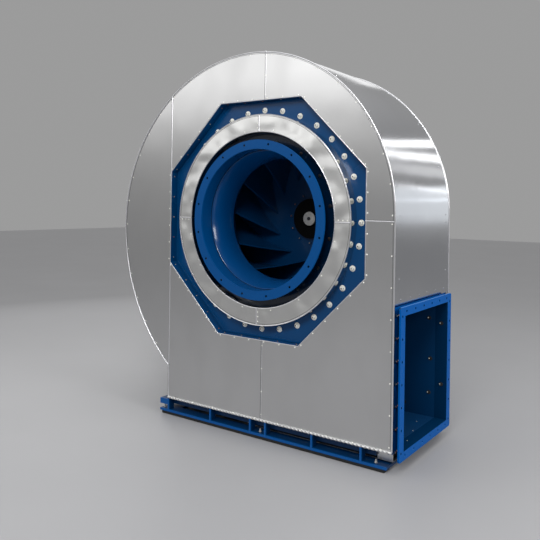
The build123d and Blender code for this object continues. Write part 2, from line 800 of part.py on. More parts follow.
save(
    "hub",
    turned(
        (shaft_hub_radius, shaft_start),
        (hub_nose_radius, shaft_start),
        (hub_nose_radius, hub_flange_front),
        (hub_flange_radius, hub_flange_front),
        (hub_flange_radius, hub_flange_front + hub_flange_thickness),
        (hub_barrel_radius, hub_flange_front + hub_flange_thickness),
        (hub_barrel_radius, barrel_end),
        (shaft_hub_radius, barrel_end),
    ),
)
back_face = Circle(impeller_radius) - Circle(hub_nose_radius + seat)
save("impeller_back_plate", slab(back_face, back_plate_front, hub_flange_front))
hub_head = RegularPolygon(hub_bolt_head_radius, 6)
hub_heads = [
    slab(Pos(x, z) * hub_head, back_plate_front - hub_bolt_head_height, back_plate_front)
    for x, z in on_circle(hub_bolt_circle, blade_count, blade_phase)
]
save("hub_bolts", *hub_heads)

retainer_front = shaft_start - retainer_thickness
retainer_disc = Circle(retainer_radius) - Circle(retainer_bolt_radius + retainer_bolt_clearance)
save(
    "shaft_retainer",
    slab(retainer_disc, retainer_front, shaft_start),
    slab(RegularPolygon(retainer_bolt_radius, 6), retainer_front + retainer_thickness / 3, shaft_start),
)

# Shroud: a rounded eye over the nozzle's lip, then a cone out to the rim
eye_radius = nozzle_radius(nozzle_end, nozzle_wall) + eye_clearance
eye_front = nozzle_end - shroud_overlap
curve_middle = (eye_radius + shroud_curve_radius, eye_front)


def on_shroud(angle, offset):
    # Point of the shroud's curve, moved towards the back plate by an offset
    reach = shroud_curve_radius + offset
    return (
        curve_middle[0] - reach * cos(radians(angle)),
        curve_middle[1] + reach * sin(radians(angle)),
    )


def shroud_line(first_angle, offset):
    # Curve and cone of the shroud from an angle of its curve out to the rim
    bend = on_shroud(shroud_curve_angle, offset)
    rim_depth = bend[1] + (impeller_radius - bend[0]) / tan(radians(shroud_curve_angle))
    half_way = (first_angle + shroud_curve_angle) / 2
    curve = ThreePointArc(on_shroud(first_angle, offset), on_shroud(half_way, offset), bend)
    return [curve, Line(bend, (impeller_radius, rim_depth))]


inner_line = shroud_line(0, 0)
outer_line = shroud_line(0, -shroud_thickness)
shroud_ends = [
    Line(inner_line[0] @ 0, outer_line[0] @ 0),
    Line(inner_line[1] @ 1, outer_line[1] @ 1),
]
shroud_face = make_face(inner_line + outer_line + shroud_ends)
save("impeller_shroud", revolve(shroud_face, Axis.Y, 360))

# Blades: strips bent to one arc, trimmed to the space between shroud and back plate
blade_line = shroud_line(blade_edge_angle, seat)
blade_side = [
    Line((blade_inner_radius, back_plate_front), blade_line[0] @ 0),
    Line(blade_line[1] @ 1, (impeller_radius, back_plate_front)),
    Line((impeller_radius, back_plate_front), (blade_inner_radius, back_plate_front)),
]
blade_room = revolve(make_face(blade_line + blade_side), Axis.Y, 360)
inlet_lean, outlet_lean = radians(blade_inlet_angle), radians(blade_outlet_angle)
blade_curve = (impeller_radius**2 - blade_inner_radius**2) / (
    2 * (impeller_radius * cos(outlet_lean) - blade_inner_radius * cos(inlet_lean))
)
blade_centre = (
    blade_inner_radius - blade_curve * cos(inlet_lean),
    -blade_curve * sin(inlet_lean),
)
centre_reach = hypot(*blade_centre)
half_turn = (impeller_radius**2 - centre_reach**2 - blade_curve**2) / (2 * centre_reach * blade_curve)
tip_angle = degrees(acos(half_turn)) - 180 + degrees(asin(-blade_centre[1] / centre_reach))
over_run = 1.5
blade_sweep = blade_inlet_angle - tip_angle + 2 * over_run
strip_face = arc_band(
    blade_centre, blade_curve + blade_thickness / 2, tip_angle - over_run, blade_sweep, blade_thickness
)
blade = slab(strip_face, eye_front, back_plate_front) & blade_room
blades = [Rot(0, -blade_phase - 360 * step / blade_count, 0) * blade for step in range(blade_count)]
save("impeller_blades", *blades)
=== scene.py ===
from math import acos, cos, pi, radians, sin

import bpy
from mathutils import Matrix, Vector


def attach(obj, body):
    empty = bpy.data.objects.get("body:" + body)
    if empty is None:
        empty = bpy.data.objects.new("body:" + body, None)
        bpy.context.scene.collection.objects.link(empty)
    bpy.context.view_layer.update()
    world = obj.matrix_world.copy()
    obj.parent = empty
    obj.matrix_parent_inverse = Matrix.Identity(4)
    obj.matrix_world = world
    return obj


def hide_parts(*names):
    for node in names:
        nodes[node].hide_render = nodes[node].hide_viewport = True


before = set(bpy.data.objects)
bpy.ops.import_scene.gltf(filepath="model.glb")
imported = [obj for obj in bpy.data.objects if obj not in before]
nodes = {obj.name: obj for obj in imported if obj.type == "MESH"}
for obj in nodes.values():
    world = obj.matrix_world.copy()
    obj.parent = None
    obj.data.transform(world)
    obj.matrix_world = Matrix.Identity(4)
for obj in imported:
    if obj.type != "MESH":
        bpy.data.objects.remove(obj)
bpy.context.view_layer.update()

print("frame loaded")


# Sizes that the pieces share, in metres, on the same axes as the frame
plan = {
    "frontFace": 0.024,
    "rearFace": 0.699,
    "platePlane": 0.074,
    "rightSide": 0.743,
    "footLeft": -0.600,
    "claddingFoot": -0.999,
    "window": 0.600,  # from the shaft axis to each side of the octagon
    "centreSeam": 0.036,
    "sideSeam": 0.011,
    "scrollCentres": ((-0.065, 0.038), (-0.065, -0.050), (0.051, -0.050)),
    "scrollRadii": (0.808, 0.896, 1.012),
}
claddingTop = plan["scrollCentres"][0][1] + plan["scrollRadii"][0]


def footTurn(grow=0.0):
    # Angle at which the last arc of the scroll meets the straight foot
    centre, radius = plan["scrollCentres"][2], plan["scrollRadii"][2] + grow
    return 2 * pi - acos((plan["footLeft"] - centre[0] - grow) / radius)


# Shader work: a socket that takes part in sums, and the tree that it belongs to
class Amount:
    def __init__(self, tree, socket):
        self.tree = tree
        self.socket = socket

    def __add__(self, other):
        return self.tree.sum("ADD", self, other)

    def __sub__(self, other):
        return self.tree.sum("SUBTRACT", self, other)

    def __rsub__(self, other):
        return self.tree.sum("SUBTRACT", other, self)

    def __mul__(self, other):
        return self.tree.sum("MULTIPLY", self, other)

    def __truediv__(self, other):
        return self.tree.sum("DIVIDE", self, other)

    def __pow__(self, other):
        return self.tree.sum("POWER", self, other)

    __radd__ = __add__
    __rmul__ = __mul__


class Graph:
    def __init__(self, owner, shader, place):
        owner.use_nodes = True
        self.tree = owner.node_tree
        self.shader = self.tree.nodes[shader]
        self.place = self.add("ShaderNodeTexCoord", output=place)

    def add(self, kind, settings=None, values=None, output=0):
        node = self.tree.nodes.new(kind)
        for name, setting in (settings or {}).items():
            if name == "stops":
                ramp = node.color_ramp
                for step, (at, shade) in enumerate(setting):
                    stop = ramp.elements[step] if step < 2 else ramp.elements.new(at)
                    stop.position = at
                    stop.color = grey(shade)
            else:
                setattr(node, name, setting)
        for name, value in (values or {}).items():
            self.plug(node.inputs[name], value)
        return Amount(self, node.outputs[output])

    def plug(self, socket, value):
        if isinstance(value, Amount):
            self.tree.links.new(value.socket, socket)
        else:
            socket.default_value = value

    def feed(self, name, value):
        self.plug(self.shader.inputs[name], value)

    def sum(self, operation, first, second):
        return self.add("ShaderNodeMath", {"operation": operation}, {0: first, 1: second})

    def least(self, first, second):
        return self.sum("MINIMUM", first, second)

    def most(self, first, second):
        return self.sum("MAXIMUM", first, second)

    def above(self, amount, edge, soft=0.001):
        # Nought below an edge, one above it
        return self.least(self.most((amount - edge) / soft, 0.0), 1.0)

    def within(self, amount, edges, soft=0.001):
        # One between two edges, nought outside them
        return self.above(amount, edges[0], soft) * (1 - self.above(amount, edges[1], soft))

    def stretched(self, scale):
        return self.add("ShaderNodeMapping", {}, {"Vector": self.place, "Scale": scale})

    def noise(self, scale, detail, place=None):
        values = {"Vector": place or self.place, "Scale": scale, "Detail": detail}
        return self.add("ShaderNodeTexNoise", {"noise_dimensions": "3D"}, values)

    def ramp(self, amount, *stops):
        return self.add("ShaderNodeValToRGB", {"stops": stops}, {"Fac": amount})

    def blend(self, factor, first, second):
        return self.add("ShaderNodeMix", {"data_type": "RGBA"}, {0: factor, 6: first, 7: second}, output=2)

    def axis(self, letter, place=None):
        return self.add("ShaderNodeSeparateXYZ", {}, {"Vector": place or self.place}, output=letter)

    def facing(self, letter):
        return self.axis(letter, self.add("ShaderNodeTexCoord", output="Normal"))

    def bump(self, height, strength, distance, under=None):
        values = {"Height": height, "Strength": strength, "Distance": distance}
        if under:
            values["Normal"] = under
        return self.add("ShaderNodeBump", {}, values)


class Finish(Graph):
    def __init__(self, name, **constants):
        self.material = bpy.data.materials.new(name)
        super().__init__(self.material, "Principled BSDF", "Object")
        for socket, value in constants.items():
            self.feed(socket.replace("_", " "), value)


def tint(red, green, blue):
    return (red, green, blue, 1)


def grey(shade):
    return tint(shade, shade, shade)


def makeSheetMetal(name, look):
    # Rolled aluminium sheet: fine rolling grain, soft dents, faint hand marks
    metal = Finish(name, Metallic=1.0, IOR=1.5)
    grain = metal.noise(1.0, 2.0, metal.stretched(look["grain"]))
    cloud = metal.noise(look["cloudScale"], 3.0)
    smear = metal.ramp(metal.noise(4.5, 2.0, metal.stretched((1, 1, 0.6))), (0.45, 0), (0.75, 1))
    shade = metal.blend(cloud, look["colour"], look["palerColour"])
    metal.feed("Base Color", metal.blend(smear * 0.3, shade, look["smearColour"]))
    roughness = look["roughness"] + (grain - 0.5) * look["grainDepth"] + smear * 0.04
    if "polishedFrom" in look:
        side = metal.above(metal.axis("Y"), look["polishedFrom"])
        roughness = roughness * (1 - side) + side * 0.05
    metal.feed("Roughness", roughness)
    lean = metal.bump(metal.axis("Z") * -look.get("lean", 0.0), 1.0, 1.0)
    wave = metal.bump(metal.noise(look["dentScale"], 1.0), look["dentStrength"], 0.02, lean)
    metal.feed("Normal", metal.bump(grain, look["grainStrength"], 0.0004, wave))
    return metal.material


# Painted shade: where the paint is drawn darker because shade falls there: in drilled holes,
# in the gap round the nozzle, on the outlet's bore, and on what lies under the cladding
paintedShadeZones = {
    "holes": {"radii": (0.3585, 0.4000)},
    "gap": {"radii": (0.3592, 0.4400), "depth": 0.030},
    "bore": {"across": (0.0355, 0.6585), "up": (-1.0105, -0.3655)},
    "under": {"middle": 0.3615, "half": 0.326},
}


# Mask of one zone of painted shade
def paintedShadeMask(paint, shadeZone):
    look = paintedShadeZones[shadeZone]
    across, up = paint.axis("Y"), paint.axis("Z")
    if shadeZone == "under":
        middle = across - look["middle"]
        return 1 - paint.above(paint.most(middle, 0 - middle), look["half"], 0.011)
    if shadeZone == "bore":
        wall = 1 - paint.above(paint.facing("X") ** 2.0, 0.3, 0.1)
        return wall * paint.within(across, look["across"], 0.0002) * paint.within(up, look["up"], 0.0002)
    ring = paint.within((paint.axis("X") ** 2.0 + up ** 2.0) ** 0.5, look["radii"])
    if shadeZone == "gap":
        return paint.above(across, look["depth"], 0.03) * ring
    return (1 - paint.above(paint.facing("Y") ** 2.0, 0.3, 0.1)) * ring


def makePaint(name, look):
    # Gloss machine paint: slight orange peel, dust on what faces up, flecks; in the frame paint the strong
    # pale dust on what faces up is painted light from above
    paint = Finish(name, IOR=look["ior"], Coat_Roughness=0.08, Coat_IOR=1.4)
    patch = paint.noise(3.0, 4.0)
    fleck = paint.ramp(paint.noise(140.0, 2.0), (0.70, 0), (0.78, 1))
    topDustAndLight = paint.least(paint.most(paint.facing("Z") - 0.3, 0.0), 0.6) * (patch * 0.6)
    colour = paint.blend(patch, look["colour"], look["deepColour"])
    colour = paint.blend(topDustAndLight * look["topDustAndLight"], colour, look["dustAndLightColour"])
    # Painted shade: the zone's darker colour
    if "shadeZone" in look:
        colour = paint.blend(paintedShadeMask(paint, look["shadeZone"]), colour, look["paintedShadeColour"])
    paint.feed("Base Color", paint.blend(fleck * look["fleck"], colour, look["dustAndLightColour"]))
    paint.feed("Roughness", look["roughness"] + patch * 0.10 + topDustAndLight * 0.3)
    paint.feed("Coat Weight", paint.most(look["coat"] - topDustAndLight, 0.0))
    peel = paint.bump(paint.noise(look["peelScale"], 2.0), look["peel"], 0.0006)
    paint.feed("Normal", paint.bump(paint.noise(9.0, 2.0), 0.10, 0.004, peel))
    return paint.material


def makeTurnedMetal(name, look):
    # Machined or plated steel with fine marks round the shaft axis
    steel = Finish(name, Metallic=look["metallic"])
    across = (steel.axis("X") ** 2.0 + steel.axis("Z") ** 2.0) ** 0.5
    rings = steel.add("ShaderNodeTexNoise", {"noise_dimensions": "1D"}, {"W": across, "Scale": 900.0})
    cloud = steel.noise(look["cloudScale"], 3.0)
    stained = steel.ramp(cloud, (0.35, 0), (0.75, 1))
    steel.feed("Base Color", steel.blend(stained, look["colour"], look["stain"]))
    steel.feed("Roughness", look["roughness"] + (rings - 0.5) * look["ringDepth"] + cloud * 0.08)
    steel.feed("Normal", steel.bump(rings, look["ringStrength"], 0.0003))
    return steel.material


def makeRough(name, look):
    # Cast, rubber or wool surface: two sizes of grain, and near black below a given height where one is given
    rough = Finish(name, Specular_IOR_Level=look["gloss"])
    coarse = rough.noise(look["coarse"], 4.0)
    fine = rough.noise(look["fine"], 2.0)
    colour = rough.blend(coarse, look["colour"], look["otherColour"])
    if "darkBelow" in look:
        darkBelowMask = 1 - rough.above(rough.axis("Z"), look["darkBelow"], 0.004)
        colour = rough.blend(darkBelowMask, colour, look["darkBelowColour"])
    rough.feed("Base Color", colour)
    rough.feed("Roughness", look["roughness"] + (fine - 0.5) * 0.15)
    under = rough.bump(coarse, look["lumps"], 0.003)
    rough.feed("Normal", rough.bump(fine, look["lumps"], 0.0008, under))
    return rough.material


def makeRustySteel(name, look):
    # Plated fastener on which rust has started
    steel = Finish(name)
    spots = steel.ramp(steel.noise(look["spotScale"], 3.0), (look["spread"], 0), (look["spread"] + 0.12, 1))
    steel.feed("Base Color", steel.blend(spots, look["colour"], look["rustColour"]))
    steel.feed("Roughness", 0.35 + spots * 0.45)
    steel.feed("Metallic", 0.8 - spots * 0.8)
    steel.feed("Normal", steel.bump(steel.noise(400.0, 2.0), 0.3, 0.0005))
    return steel.material


foldedSheet = {"grain": (300, 300, 300), "grainDepth": 0.05, "cloudScale": 6.0}
sheetLooks = {
    "panel sheet": {
        "colour": grey(0.58), "palerColour": grey(0.64), "smearColour": grey(0.50),
        "grain": (420, 420, 9), "grainDepth": 0.015, "grainStrength": 0.0005, "cloudScale": 1.6,
        "roughness": 0.28, "dentScale": 3.4, "dentStrength": 0.14,
    },
    "wrap sheet": {
        "colour": tint(0.60, 0.61, 0.64), "palerColour": tint(0.67, 0.68, 0.70),
        "smearColour": tint(0.54, 0.55, 0.58),
        "grain": (8, 700, 8), "grainDepth": 0.05, "grainStrength": 0.06, "cloudScale": 1.2,
        "roughness": 0.14, "dentScale": 3.0, "dentStrength": 0.11,
    },
    "ring sheet": {
        "colour": tint(0.64, 0.64, 0.63), "palerColour": tint(0.70, 0.70, 0.69), "smearColour": grey(0.52),
        "grain": (420, 420, 420), "grainDepth": 0.03, "grainStrength": 0.001, "cloudScale": 2.5,
        "roughness": 0.34, "dentScale": 7.0, "dentStrength": 0.95, "polishedFrom": 0.0225, "lean": 0.06,
    },
    "folded edge": {
        **foldedSheet, "colour": tint(0.74, 0.74, 0.76), "palerColour": tint(0.80, 0.80, 0.82),
        "smearColour": tint(0.60, 0.60, 0.62),
        "grainStrength": 0.05, "roughness": 0.30, "dentScale": 20.0, "dentStrength": 0.08,
    },
    "twisted hem": {
        **foldedSheet, "colour": grey(0.68), "palerColour": grey(0.76), "smearColour": grey(0.50),
        "grainStrength": 0.05, "roughness": 0.62, "dentScale": 30.0, "dentStrength": 0.2,
    },
    # Dark sheet for grooves and scored lines: painted shade
    "shaded groove": {
        **foldedSheet, "colour": tint(0.16, 0.16, 0.17), "palerColour": tint(0.20, 0.20, 0.21),
        "smearColour": grey(0.10),
        "grainStrength": 0.02, "roughness": 0.45, "dentScale": 20.0, "dentStrength": 0.08,
    },
}
panelMetal, wrapMetal, ringMetal, beadMetal, hemMetal, shadedGrooveMetal = (
    makeSheetMetal(name, look) for name, look in sheetLooks.items()
)
machinePaint = {"dustAndLightColour": tint(0.20, 0.24, 0.30), "fleck": 0.05, "peelScale": 380.0, "peel": 0.08}
innerPaint = {**machinePaint, "peelScale": 300.0, "peel": 0.12, "ior": 1.33}
paintLooks = {
    "blue paint": {
        **machinePaint, "colour": tint(0.0, 0.070, 0.250), "deepColour": tint(0.0, 0.058, 0.215),
        "roughness": 0.26, "coat": 0.06, "topDustAndLight": 0.18, "peel": 0.10, "ior": 1.30,
    },
    # Flange paint: painted shade in its holes
    "flange paint": {
        **machinePaint, "colour": tint(0.0, 0.070, 0.250), "deepColour": tint(0.0, 0.062, 0.225),
        "roughness": 0.24, "coat": 0.06, "topDustAndLight": 0.10, "fleck": 0.04, "ior": 1.28,
        "shadeZone": "holes", "paintedShadeColour": tint(0.0, 0.004, 0.010),
    },
    # Cover paint: darker than the blue paint, as painted shade in the window's recess
    "shaded cover paint": {
        **machinePaint, "colour": tint(0.0, 0.058, 0.185), "deepColour": tint(0.0, 0.048, 0.158),
        "roughness": 0.22, "coat": 0.10, "topDustAndLight": 0.05, "ior": 1.32,
        "shadeZone": "gap", "paintedShadeColour": tint(0.0, 0.010, 0.032),
    },
    # Nozzle paint: painted shade in the gap round the nozzle
    "nozzle paint": {
        **machinePaint, "colour": tint(0.0, 0.064, 0.225), "deepColour": tint(0.0, 0.054, 0.195),
        "roughness": 0.13, "coat": 0.35, "topDustAndLight": 0.05, "fleck": 0.04, "peel": 0.06, "ior": 1.42,
        "shadeZone": "gap", "paintedShadeColour": tint(0.0, 0.010, 0.032),
    },
    # Frame paint: its strong pale dust on what faces up is painted light from above; its bore zone is painted
    # shade
    "frame paint": {
        **machinePaint, "colour": tint(0.0, 0.088, 0.345), "deepColour": tint(0.0, 0.076, 0.310),
        "roughness": 0.38, "coat": 0.0, "topDustAndLight": 4.0, "fleck": 0.03, "ior": 1.14,
        "dustAndLightColour": tint(0.07, 0.22, 0.52), "shadeZone": "bore", "paintedShadeColour": tint(0.0, 0.022, 0.070),
    },
    # Base paint: painted shade on what lies under the cladding
    "base paint": {
        **machinePaint, "colour": tint(0.0, 0.084, 0.310), "deepColour": tint(0.0, 0.070, 0.270),
        "roughness": 0.30, "coat": 0.05, "topDustAndLight": 0.08, "peel": 0.10, "ior": 1.30,
        "shadeZone": "under", "paintedShadeColour": tint(0.0, 0.034, 0.120),
    },
    # Duct paint: a darker copy of the blue paint, painted shade inside the casing and the outlet
    "shaded duct paint": {
        **innerPaint, "colour": tint(0.0, 0.036, 0.118), "deepColour": tint(0.0, 0.028, 0.090),
        "dustAndLightColour": tint(0.12, 0.16, 0.20), "roughness": 0.36, "coat": 0.05, "topDustAndLight": 0.10,
    },
    # Impeller paint: a darker copy of the paint, painted shade deep in the casing
    "shaded impeller paint": {
        **innerPaint, "colour": tint(0.0, 0.034, 0.110), "deepColour": tint(0.0, 0.024, 0.082),
        "dustAndLightColour": tint(0.05, 0.07, 0.10), "roughness": 0.26, "coat": 0.15, "topDustAndLight": 0.05,
    },
}
bluePaint, flangePaint, shadedPlatePaint, nozzlePaint, framePaint, basePaint, shadedDuctPaint, shadedImpellerPaint = (
    makePaint(name, look) for name, look in paintLooks.items()
)
zincSteel = makeTurnedMetal("zinc plate", {
    "metallic": 0.05, "colour": tint(0.97, 0.97, 0.91), "stain": tint(0.88, 0.87, 0.78),
    "cloudScale": 60.0, "roughness": 0.30, "ringDepth": 0.05, "ringStrength": 0.05,
})
turnedSteel = makeTurnedMetal("turned steel", {
    "metallic": 1.0, "colour": tint(0.60, 0.60, 0.58), "stain": tint(0.48, 0.47, 0.44),
    "cloudScale": 25.0, "roughness": 0.24, "ringDepth": 0.18, "ringStrength": 0.25,
})
bearingSteel = makeTurnedMetal("bearing steel", {
    "metallic": 1.0, "colour": tint(0.55, 0.55, 0.56), "stain": tint(0.45, 0.45, 0.46),
    "cloudScale": 25.0, "roughness": 0.12, "ringDepth": 0.05, "ringStrength": 0.08,
})
dullSteel = makeTurnedMetal("dull plate", {
    "metallic": 0.35, "colour": tint(0.62, 0.61, 0.58), "stain": tint(0.44, 0.43, 0.40),
    "cloudScale": 60.0, "roughness": 0.46, "ringDepth": 0.05, "ringStrength": 0.05,
})
blackIron = makeRough("black hub", {
    "colour": grey(0.002), "otherColour": tint(0.004, 0.004, 0.005),
    "coarse": 12.0, "fine": 300.0, "roughness": 0.6, "lumps": 0.15, "gloss": 0.06,
})
greyIron = makeRough("grey casting", {
    "colour": tint(0.10, 0.11, 0.12), "otherColour": tint(0.15, 0.16, 0.17),
    "coarse": 30.0, "fine": 420.0, "roughness": 0.42, "lumps": 0.4, "gloss": 0.5,
})
rubber = makeRough("black rubber", {
    "colour": grey(0.012), "otherColour": grey(0.022),
    "coarse": 20.0, "fine": 250.0, "roughness": 0.75, "lumps": 0.3, "gloss": 0.3,
})
wool = makeRough("mineral wool", {
    "colour": tint(0.34, 0.30, 0.18), "otherColour": tint(0.50, 0.45, 0.30),
    "coarse": 40.0, "fine": 500.0, "roughness": 0.92, "lumps": 0.9, "gloss": 0.2,
    "darkBelow": -0.995, "darkBelowColour": tint(0.010, 0.010, 0.012),
})
darkSteel = makeRustySteel("dark plate", {
    "colour": tint(0.030, 0.036, 0.045), "rustColour": tint(0.10, 0.035, 0.015),
    "spotScale": 110.0, "spread": 0.56,
})
rustySteel = makeRustySteel("rusting plate", {
    "colour": tint(0.45, 0.41, 0.35), "rustColour": tint(0.28, 0.10, 0.04),
    "spotScale": 90.0, "spread": 0.44,
})
print("finishes made")


# Each material with the nodes that wear it
dress = (
    (panelMetal, "front_panel_left", "front_panel_upper_left", "front_panel_upper_right",
     "front_panel_lower_left", "front_panel_lower_right", "rear_panel_left", "rear_panel_right",
     "belly_tray"),
    (wrapMetal, "wrap_outlet_side", "wrap_upper_right", "wrap_upper_left", "wrap_lower_left"),
    (ringMetal, "inlet_ring_lower_right", "inlet_ring_lower_left", "inlet_ring_upper_left",
     "inlet_ring_upper_right"),
    (bluePaint, "pedestal_top", "pedestal_side_walls", "pedestal_end_plates", "pedestal_feet"),
    (flangePaint, "inlet_flange"),
    (shadedPlatePaint, "inlet_cover_plate", "window_frame"),
    (nozzlePaint, "inlet_nozzle"),
    (framePaint, "outlet_flange", "outlet_frame", "outlet_stub"),
    (basePaint, "front_side_plate", "foot_end_plate", "upper_rails", "left_side_rail", "gussets",
     "front_foot_plate", "rear_foot_plate", "cross_plates"),
    (shadedDuctPaint, "rear_side_plate", "scroll_wrapper", "cutoff_plate"),
    (shadedImpellerPaint, "impeller_back_plate", "impeller_blades", "impeller_shroud"),
    (wool, "front_insulation", "rear_insulation", "scroll_insulation", "inlet_ring_insulation"),
    (zincSteel, "cover_bolts", "outlet_frame_bolts", "foot_bolts", "bearing_bolts", "hub_bolts"),
    (turnedSteel, "shaft", "shaft_retainer"),
    (bearingSteel, "bearing_inner_rings", "bearing_outer_rings"),
    (blackIron, "hub"),
    (greyIron, "bearing_housings", "bearing_caps", "shaft_seal"),
    (rubber, "foot_strips"),
)
for material, *names in dress:
    for name in names:
        nodes[name].data.materials.clear()
        nodes[name].data.materials.append(material)
print("nodes dressed")


# Modelling helpers
mergeReach = 0.00001


def deselect():
    if bpy.context.object and bpy.context.object.mode != "OBJECT":
        bpy.ops.object.mode_set(mode="OBJECT")
    bpy.ops.object.select_all(action="DESELECT")


def choose(piece):
    deselect()
    piece.select_set(True)
    bpy.context.view_layer.objects.active = piece


def begin(shape, name, **values):
    deselect()
    getattr(bpy.ops.mesh, f"primitive_{shape}_add")(**values)
    piece = bpy.context.object
    piece.name = name
    piece.data.name = name
    bpy.ops.object.transform_apply(location=True, rotation=True, scale=True)
    return piece


def post(name, sides, radius, height, foot=0.0, aside=0.0):
    # An upright cylinder that stands on a height
    place = (aside, 0, foot + height / 2)
    return begin("cylinder", name, vertices=sides, radius=radius, depth=height, location=place)


def edit(piece):
    choose(piece)
    bpy.ops.object.mode_set(mode="EDIT")
    bpy.ops.mesh.select_all(action="SELECT")


def editTop(piece):
    # Edit mode with only the faces that look up selected
    edit(piece)
    bpy.ops.mesh.select_all(action="DESELECT")
    bpy.ops.object.mode_set(mode="OBJECT")
    for face in piece.data.polygons:
        face.select = face.normal.z > 0.9
    bpy.ops.object.mode_set(mode="EDIT")


def extrude(by):
    bpy.ops.mesh.extrude_region_move(TRANSFORM_OT_translate={"value": by})


def tidyShell(piece, smooth=35):
    edit(piece)
    bpy.ops.mesh.remove_doubles(threshold=mergeReach)
    bpy.ops.mesh.normals_make_consistent(inside=False)
    bpy.ops.object.mode_set(mode="OBJECT")
    bpy.ops.object.shade_smooth_by_angle(angle=radians(smooth))
    return piece


def bevelEdges(piece, width, segments=2):
    choose(piece)
    bevel = piece.modifiers.new("bevel", "BEVEL")
    bevel.width = width
    bevel.segments = segments
    bevel.limit_method = "ANGLE"
    bevel.angle_limit = radians(35)
    bpy.ops.object.modifier_apply(modifier=bevel.name)
    return piece


def together(pieces, name):
    choose(pieces[0])
    for piece in pieces:
        piece.select_set(True)
    if len(pieces) > 1:
        bpy.ops.object.join()
    pieces[0].name = name
    pieces[0].data.name = name
    return pieces[0]


def standing(at, facing, turn=0.0):
    # Matrix that stands a model, drawn upright on the origin, on a place with its top to the normal
    aim = Vector(facing).to_track_quat("Z", "Y").to_matrix().to_4x4()
    return Matrix.Translation(at) @ aim @ Matrix.Rotation(turn, 4, "Z")


def copies(model, places, name):
    # One piece made of a model's copies, each with its own mesh
    made = []
    for place in places:
        piece = model.copy()
        piece.data = model.data.copy()
        piece.data.transform(place)
        bpy.context.collection.objects.link(piece)
        made.append(piece)
    return together(made, name)


def discard(*models):
    deselect()
    for model in models:
        model.select_set(True)
    bpy.ops.object.delete()


def give(piece, material, body="casing", replaced=()):
    piece.data.materials.clear()
    piece.data.materials.append(material)
    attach(piece, body)
    if replaced:
        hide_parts(*replaced)


def drawBead(name, radius, start, aim, runs, sides=8):
    # A round section drawn along straight runs and arcs
    turn = Vector(aim).to_track_quat("Z", "Y").to_euler()
    piece = begin("circle", name, vertices=sides, radius=radius, fill_type="NGON",
                  location=start, rotation=turn)
    edit(piece)
    for run in runs:
        if "by" in run:
            extrude(run["by"])
        else:
            bpy.ops.mesh.spin(steps=run["steps"], angle=run["angle"], center=run["centre"], axis=(0, 1, 0))
    return tidyShell(piece, 50)


def drawStrip(name, radius, start, by, sides=6):
    return drawBead(name, radius, start, by, [{"by": by}], sides)


def drawOutline(name, outline, foot=0.0):
    # Edges round a closed outline of X and Y corners, left in edit mode
    piece = begin("plane", name, size=0.001, location=(*outline[0], foot))
    edit(piece)
    bpy.ops.mesh.merge(type="CENTER")
    for near, far in zip(outline, outline[1:] + outline[:1]):
        extrude((far[0] - near[0], far[1] - near[1], 0))
    bpy.ops.mesh.select_all(action="SELECT")
    bpy.ops.mesh.remove_doubles(threshold=mergeReach)
    return piece


def lathe(name, outline, steps=96):
    # Closed outline of radius and depth corners, spun round the shaft axis
    piece = drawOutline(name, outline)
    bpy.ops.mesh.spin(steps=steps, angle=2 * pi, center=(0, 0, 0), axis=(0, 1, 0))
    return tidyShell(piece)


def raiseProfile(name, outline, foot, rise):
    # Closed outline in X and Y, raised along Z
    piece = drawOutline(name, outline, foot)
    bpy.ops.mesh.edge_face_add()
    extrude((0, 0, rise))
    return tidyShell(piece, 30)


def roundBead(name, radius, depth, size, sides=8, steps=120):
    # A bead bent into a ring round the shaft axis
    turns = [2 * pi * side / sides for side in range(sides)]
    return lathe(name, [(radius + size * cos(turn), depth + size * sin(turn)) for turn in turns], steps)


def alongLine(first, last, pitch, inset=0.0):
    # Evenly spread points between two ends, at about a pitch
    first, last = Vector(first), Vector(last)
    span = (last - first).length - 2 * inset
    count = max(1, round(span / pitch))
    heading = (last - first).normalized()
    return [first + heading * (inset + span * step / count) for step in range(count + 1)]


def alongArc(centre, radius, first, last, pitch):
    count = max(1, round(abs(last - first) * radius / pitch))
    turns = [first + (last - first) * step / count for step in range(count + 1)]
    return [(centre[0] + radius * cos(turn), centre[1] + radius * sin(turn)) for turn in turns]


def roundShaft(circle, depth, count, first=0.0, facing=(0, -1, 0)):
    # Places round the shaft axis, facing the inlet side
    places = []
    for step in range(count):
        turn = first + 2 * pi * step / count
        places.append(standing((circle * cos(turn), depth, circle * sin(turn)), facing, step * 0.7))
    return places


# Fasteners, each modelled once
screwLook = {"radius": 0.0037, "height": 0.0022, "sides": 10}
studEndLook = {"radius": 0.0038, "height": 0.0018, "sides": 12}
screwShape = {"top": 0.62, "recess": 0.0012, "recessDepth": 0.0006}
coverNut = {
    "washer": 0.0148, "washerHeight": 0.0028, "across": 0.0098, "height": 0.0080,
    "stud": 0.0052, "studOut": 0.0045,
}
smallNut = {
    "washer": 0.0100, "washerHeight": 0.0018, "across": 0.0078, "height": 0.0048,
    "stud": 0.0038, "studOut": 0.0016,
}
footNut = {
    "washer": 0.0078, "washerHeight": 0.0014, "across": 0.0064, "height": 0.0062,
    "stud": 0.0036, "studOut": 0.0080,
}
anchorNut = {
    "washer": 0.0210, "washerHeight": 0.0035, "across": 0.0150, "height": 0.0130,
    "stud": 0.0080, "studOut": 0.0180,
}
nutEdges = {"washer": 0.0006, "nut": 0.0010, "stud": 0.0008}


def modelScrew(look):
    # A low head that narrows upwards, with a shallow recess
    head = post("screw model", look["sides"], look["radius"], look["height"])
    editTop(head)
    bpy.ops.transform.resize(value=(screwShape["top"], screwShape["top"], 1))
    bpy.ops.mesh.inset(thickness=screwShape["recess"], depth=-screwShape["recessDepth"])
    bpy.ops.object.mode_set(mode="OBJECT")
    bpy.ops.object.shade_smooth_by_angle(angle=radians(60))
    return head


